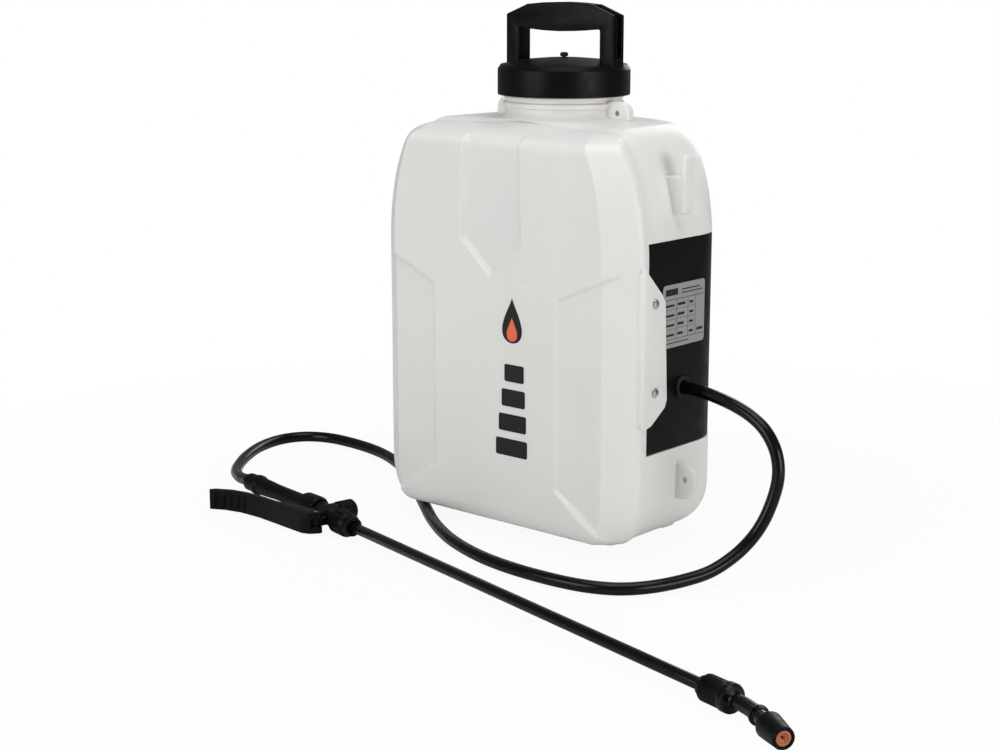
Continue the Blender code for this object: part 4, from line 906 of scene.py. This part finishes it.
# ---------------------------------------------------------------- lance and nozzle
nut_rows = soften([(0.0090, -0.0130), (0.0116, -0.0130), (0.0122, -0.0115), (0.0122, 0.0060), (0.0100, 0.0090),
                   (0.0092, 0.0160), (0.0054, 0.0160), (0.0054, 0.0052), (0.0090, 0.0052)], 0.0008, 4)
stands_for(piece("lance_collar", *turned(nut_rows, INTO_LANCE, 144, (12, 0.0008, -0.0122, 0.0062, 0.72))),
           "lance_nut", BLACK)
tube_rows = soften([(0.0036, 0.0054), (0.0050, 0.0054), (0.0050, 0.5300), (0.0036, 0.5300)], 0.0003, 2)
stands_for(piece("lance_pipe", *turned(tube_rows, INTO_LANCE, 64)), "lance_tube", GLOSS)
nozzle_rows = soften([(0.0054, 0.5135), (0.0078, 0.5135), (0.0086, 0.5165), (0.0109, 0.5192), (0.0109, 0.5398),
                      (0.0066, 0.5398), (0.0066, 0.5306), (0.0054, 0.5306)], 0.0007, 4)
stands_for(piece("nozzle_collar", *turned(nozzle_rows, INTO_LANCE, 192, (24, 0.0009, 0.5190, 0.5385, 0.55))),
           "nozzle_nut", BLACK)
ARC_START = 0.5470
ARC_RADIUS = 0.1000
ARC_LENGTH = ARC_RADIUS * math.radians(20.0)


def centre_line(s):
    """Frame of the nozzle's bent centre line at a distance along the lance, z pointing along it."""
    turn = min(max(s - ARC_START, 0.0), ARC_LENGTH) / ARC_RADIUS
    beyond = max(s - ARC_START - ARC_LENGTH, 0.0)
    x = min(s, ARC_START) + ARC_RADIUS * math.sin(turn) + beyond * math.cos(turn)
    y = -ARC_RADIUS * (1.0 - math.cos(turn)) - beyond * math.sin(turn)
    return LANCE @ Matrix.Translation((x, y, 0)) @ Matrix.Rotation(-turn, 4, "Z") @ ALONG_X


def bent(rows, n):
    """Closed hollow solid whose (distance, radius) rows follow the centre line."""
    verts = []
    for s, r in rows:
        at = centre_line(s)
        for i in range(n):
            a = 2.0 * math.pi * i / n
            verts.append(at @ Vector((r * math.cos(a), r * math.sin(a), 0)))
    faces = []
    for k in range(len(rows)):
        m = (k + 1) % len(rows)
        for i in range(n):
            j = (i + 1) % n
            faces.append((k * n + i, k * n + j, m * n + j, m * n + i))
    return verts, faces


elbow_rows = soften([(0.5316, 0.0062), (0.5404, 0.0062), (0.5404, 0.0118), (0.5465, 0.0118), (0.5484, 0.0108),
                     (0.5490, 0.0066), (0.5510, 0.0060), (0.5600, 0.0060), (0.5680, 0.0060), (0.5760, 0.0060),
                     (0.5796, 0.0060), (0.5799, 0.0080), (0.5825, 0.0080), (0.5828, 0.0060), (0.5954, 0.0060),
                     (0.5958, 0.0070), (0.6088, 0.0070), (0.6088, 0.0022), (0.5819, 0.0022), (0.5770, 0.0022),
                     (0.5720, 0.0022), (0.5660, 0.0022), (0.5600, 0.0022), (0.5530, 0.0022), (0.5470, 0.0022),
                     (0.5316, 0.0022)], 0.0006, 3)
stands_for(piece("nozzle_bend", *bent(elbow_rows, 56)), "nozzle_elbow", GLOSS)
TIP = centre_line(ARC_START + ARC_LENGTH)
cap_rows = soften([(0.0074, 0.0160), (0.0098, 0.0160), (0.0105, 0.0180), (0.0086, 0.0425), (0.0080, 0.0434),
                   (0.0062, 0.0434), (0.0062, 0.0322), (0.0074, 0.0322)], 0.0006, 4)
stands_for(piece("nozzle_tip", *turned(cap_rows, TIP, 96)), "nozzle_cap", BLACK)
insert_rows = soften([(0.0009, 0.0328), (0.0058, 0.0328), (0.0058, 0.0427), (0.0046, 0.0430), (0.0030, 0.0415),
                      (0.0016, 0.0409), (0.0009, 0.0400)], 0.0003, 3)
stands_for(piece("spray_insert", *turned(insert_rows, TIP, 64)), "nozzle_insert", INSERT)

# ---------------------------------------------------------------- CAD pieces that stay, with their finish
FINISH = {"fill_basket": BLACK, "tank_outlet": BLACK, "outlet_strainer": FILTER, "outlet_tail": BLACK,
          "pump_head": CASE, "diaphragm": RUBBER, "drive_housing": CASE, "drive_hub": STEEL, "motor_shaft": STEEL,
          "motor_can": MOTOR, "pump_bracket": STEEL, "pressure_switch": BLACK, "suction_tube": CLEAR,
          "pressure_tube": RUBBER, "control_board": BOARD, "speed_pot": MOTOR, "battery_terminal": BLACK,
          "lid_gasket": RUBBER, "grip_tail": BLACK, "grip_filter": FILTER, "valve_plunger": BRASS,
          "plunger_seal": RUBBER, "valve_spring": STEEL, "lance_seal": RUBBER, "nozzle_seal": RUBBER,
          "swirl_disc": FILTER}
for name, mat in FINISH.items():
    node = frame["nodes"][name]
    for k in range(len(node.material_slots)):
        node.material_slots[k].material = mat
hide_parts("tank_neck")

# ---------------------------------------------------------------- studio
world = bpy.data.worlds.new("studio")
world.use_nodes = True
scene.world = world
tree = world.node_tree
link = tree.links.new
seen = preset(tree.nodes["Background"], Color=(1.0, 1.0, 1.0, 1.0), Strength=1.0)
lit = added(tree, "Background", Color=(0.97, 0.985, 1.0, 1.0), Strength=0.22)
ray = added(tree, "LightPath")
mix = added(tree, "MixShader")
link(ray.outputs["Is Camera Ray"], mix.inputs[0])
link(lit.outputs[0], mix.inputs[1])
link(seen.outputs[0], mix.inputs[2])
link(mix.outputs[0], tree.nodes["World Output"].inputs["Surface"])
scene.view_settings.view_transform = "Standard"

floor_mat = bpy.data.materials.new("studio_floor")
floor_mat.use_nodes = True
tree = floor_mat.node_tree
link = tree.links.new
matt = preset(tree.nodes["Principled BSDF"], Roughness=0.9, Specular_IOR_Level=0.0)
place = added(tree, "TexCoord").outputs["Object"]
drift = added(tree, "TexNoise", Scale=1.5)
link(place, drift.inputs["Vector"])
ramp = added(tree, "ValToRGB")
ramp.color_ramp.elements[0].color = (0.70, 0.70, 0.70, 1.0)
ramp.color_ramp.elements[1].color = (0.73, 0.73, 0.73, 1.0)
link(drift.outputs["Fac"], ramp.inputs["Fac"])
link(ramp.outputs["Color"], matt.inputs["Base Color"])
glow = added(tree, "Emission", Strength=1.0)
ray = added(tree, "LightPath")
away = added(tree, "VectorMath")
away.operation = "LENGTH"
link(place, away.inputs[0])
fade = added(tree, "MapRange", From_Min=0.30, From_Max=0.85, To_Min=0.93, To_Max=1.0)
link(away.outputs["Value"], fade.inputs["Value"])
share = added(tree, "Math")
share.operation = "MULTIPLY"
link(ray.outputs["Is Camera Ray"], share.inputs[0])
link(fade.outputs["Result"], share.inputs[1])
mix = added(tree, "MixShader")
link(share.outputs[0], mix.inputs[0])
link(matt.outputs[0], mix.inputs[1])
link(glow.outputs[0], mix.inputs[2])
link(mix.outputs[0], tree.nodes["Material Output"].inputs["Surface"])
floor = piece("floor", [(-14, -14, -0.0004), (14, -14, -0.0004), (14, 14, -0.0004), (-14, 14, -0.0004)],
              [(0, 1, 2, 3)])
dress(floor, floor_mat)
floor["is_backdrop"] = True

LIGHTS = [("top", (0.30, -0.20, 2.20), (0.0, 0.0, 0.20), 1.8, 1.8, 27.0, (1.0, 1.0, 1.0)),
          ("right", (2.20, -0.20, 0.42), (0.0, 0.0, 0.14), 1.2, 1.0, 22.0, (1.0, 0.960, 0.925)),
          ("front", (-0.50, -2.30, 0.80), (0.0, 0.0, 0.16), 1.4, 1.4, 27.0, (1.0, 1.0, 0.985)),
          ("back", (-0.60, 2.10, 1.20), (0.0, 0.0, 0.25), 1.0, 1.6, 14.0, (1.0, 1.0, 1.0))]
for name, at, aim, wide, tall, power, tint in LIGHTS:
    data = bpy.data.lights.new("light_" + name, "AREA")
    data.shape = "RECTANGLE"
    data.size = wide
    data.size_y = tall
    data.energy = power
    data.color = tint
    lamp = bpy.data.objects.new("light_" + name, data)
    lamp.location = at
    lamp.rotation_euler = (Vector(aim) - Vector(at)).to_track_quat("-Z", "Y").to_euler()
    scene.collection.objects.link(lamp)

# ---------------------------------------------------------------- bounds of what is shown
low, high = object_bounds()
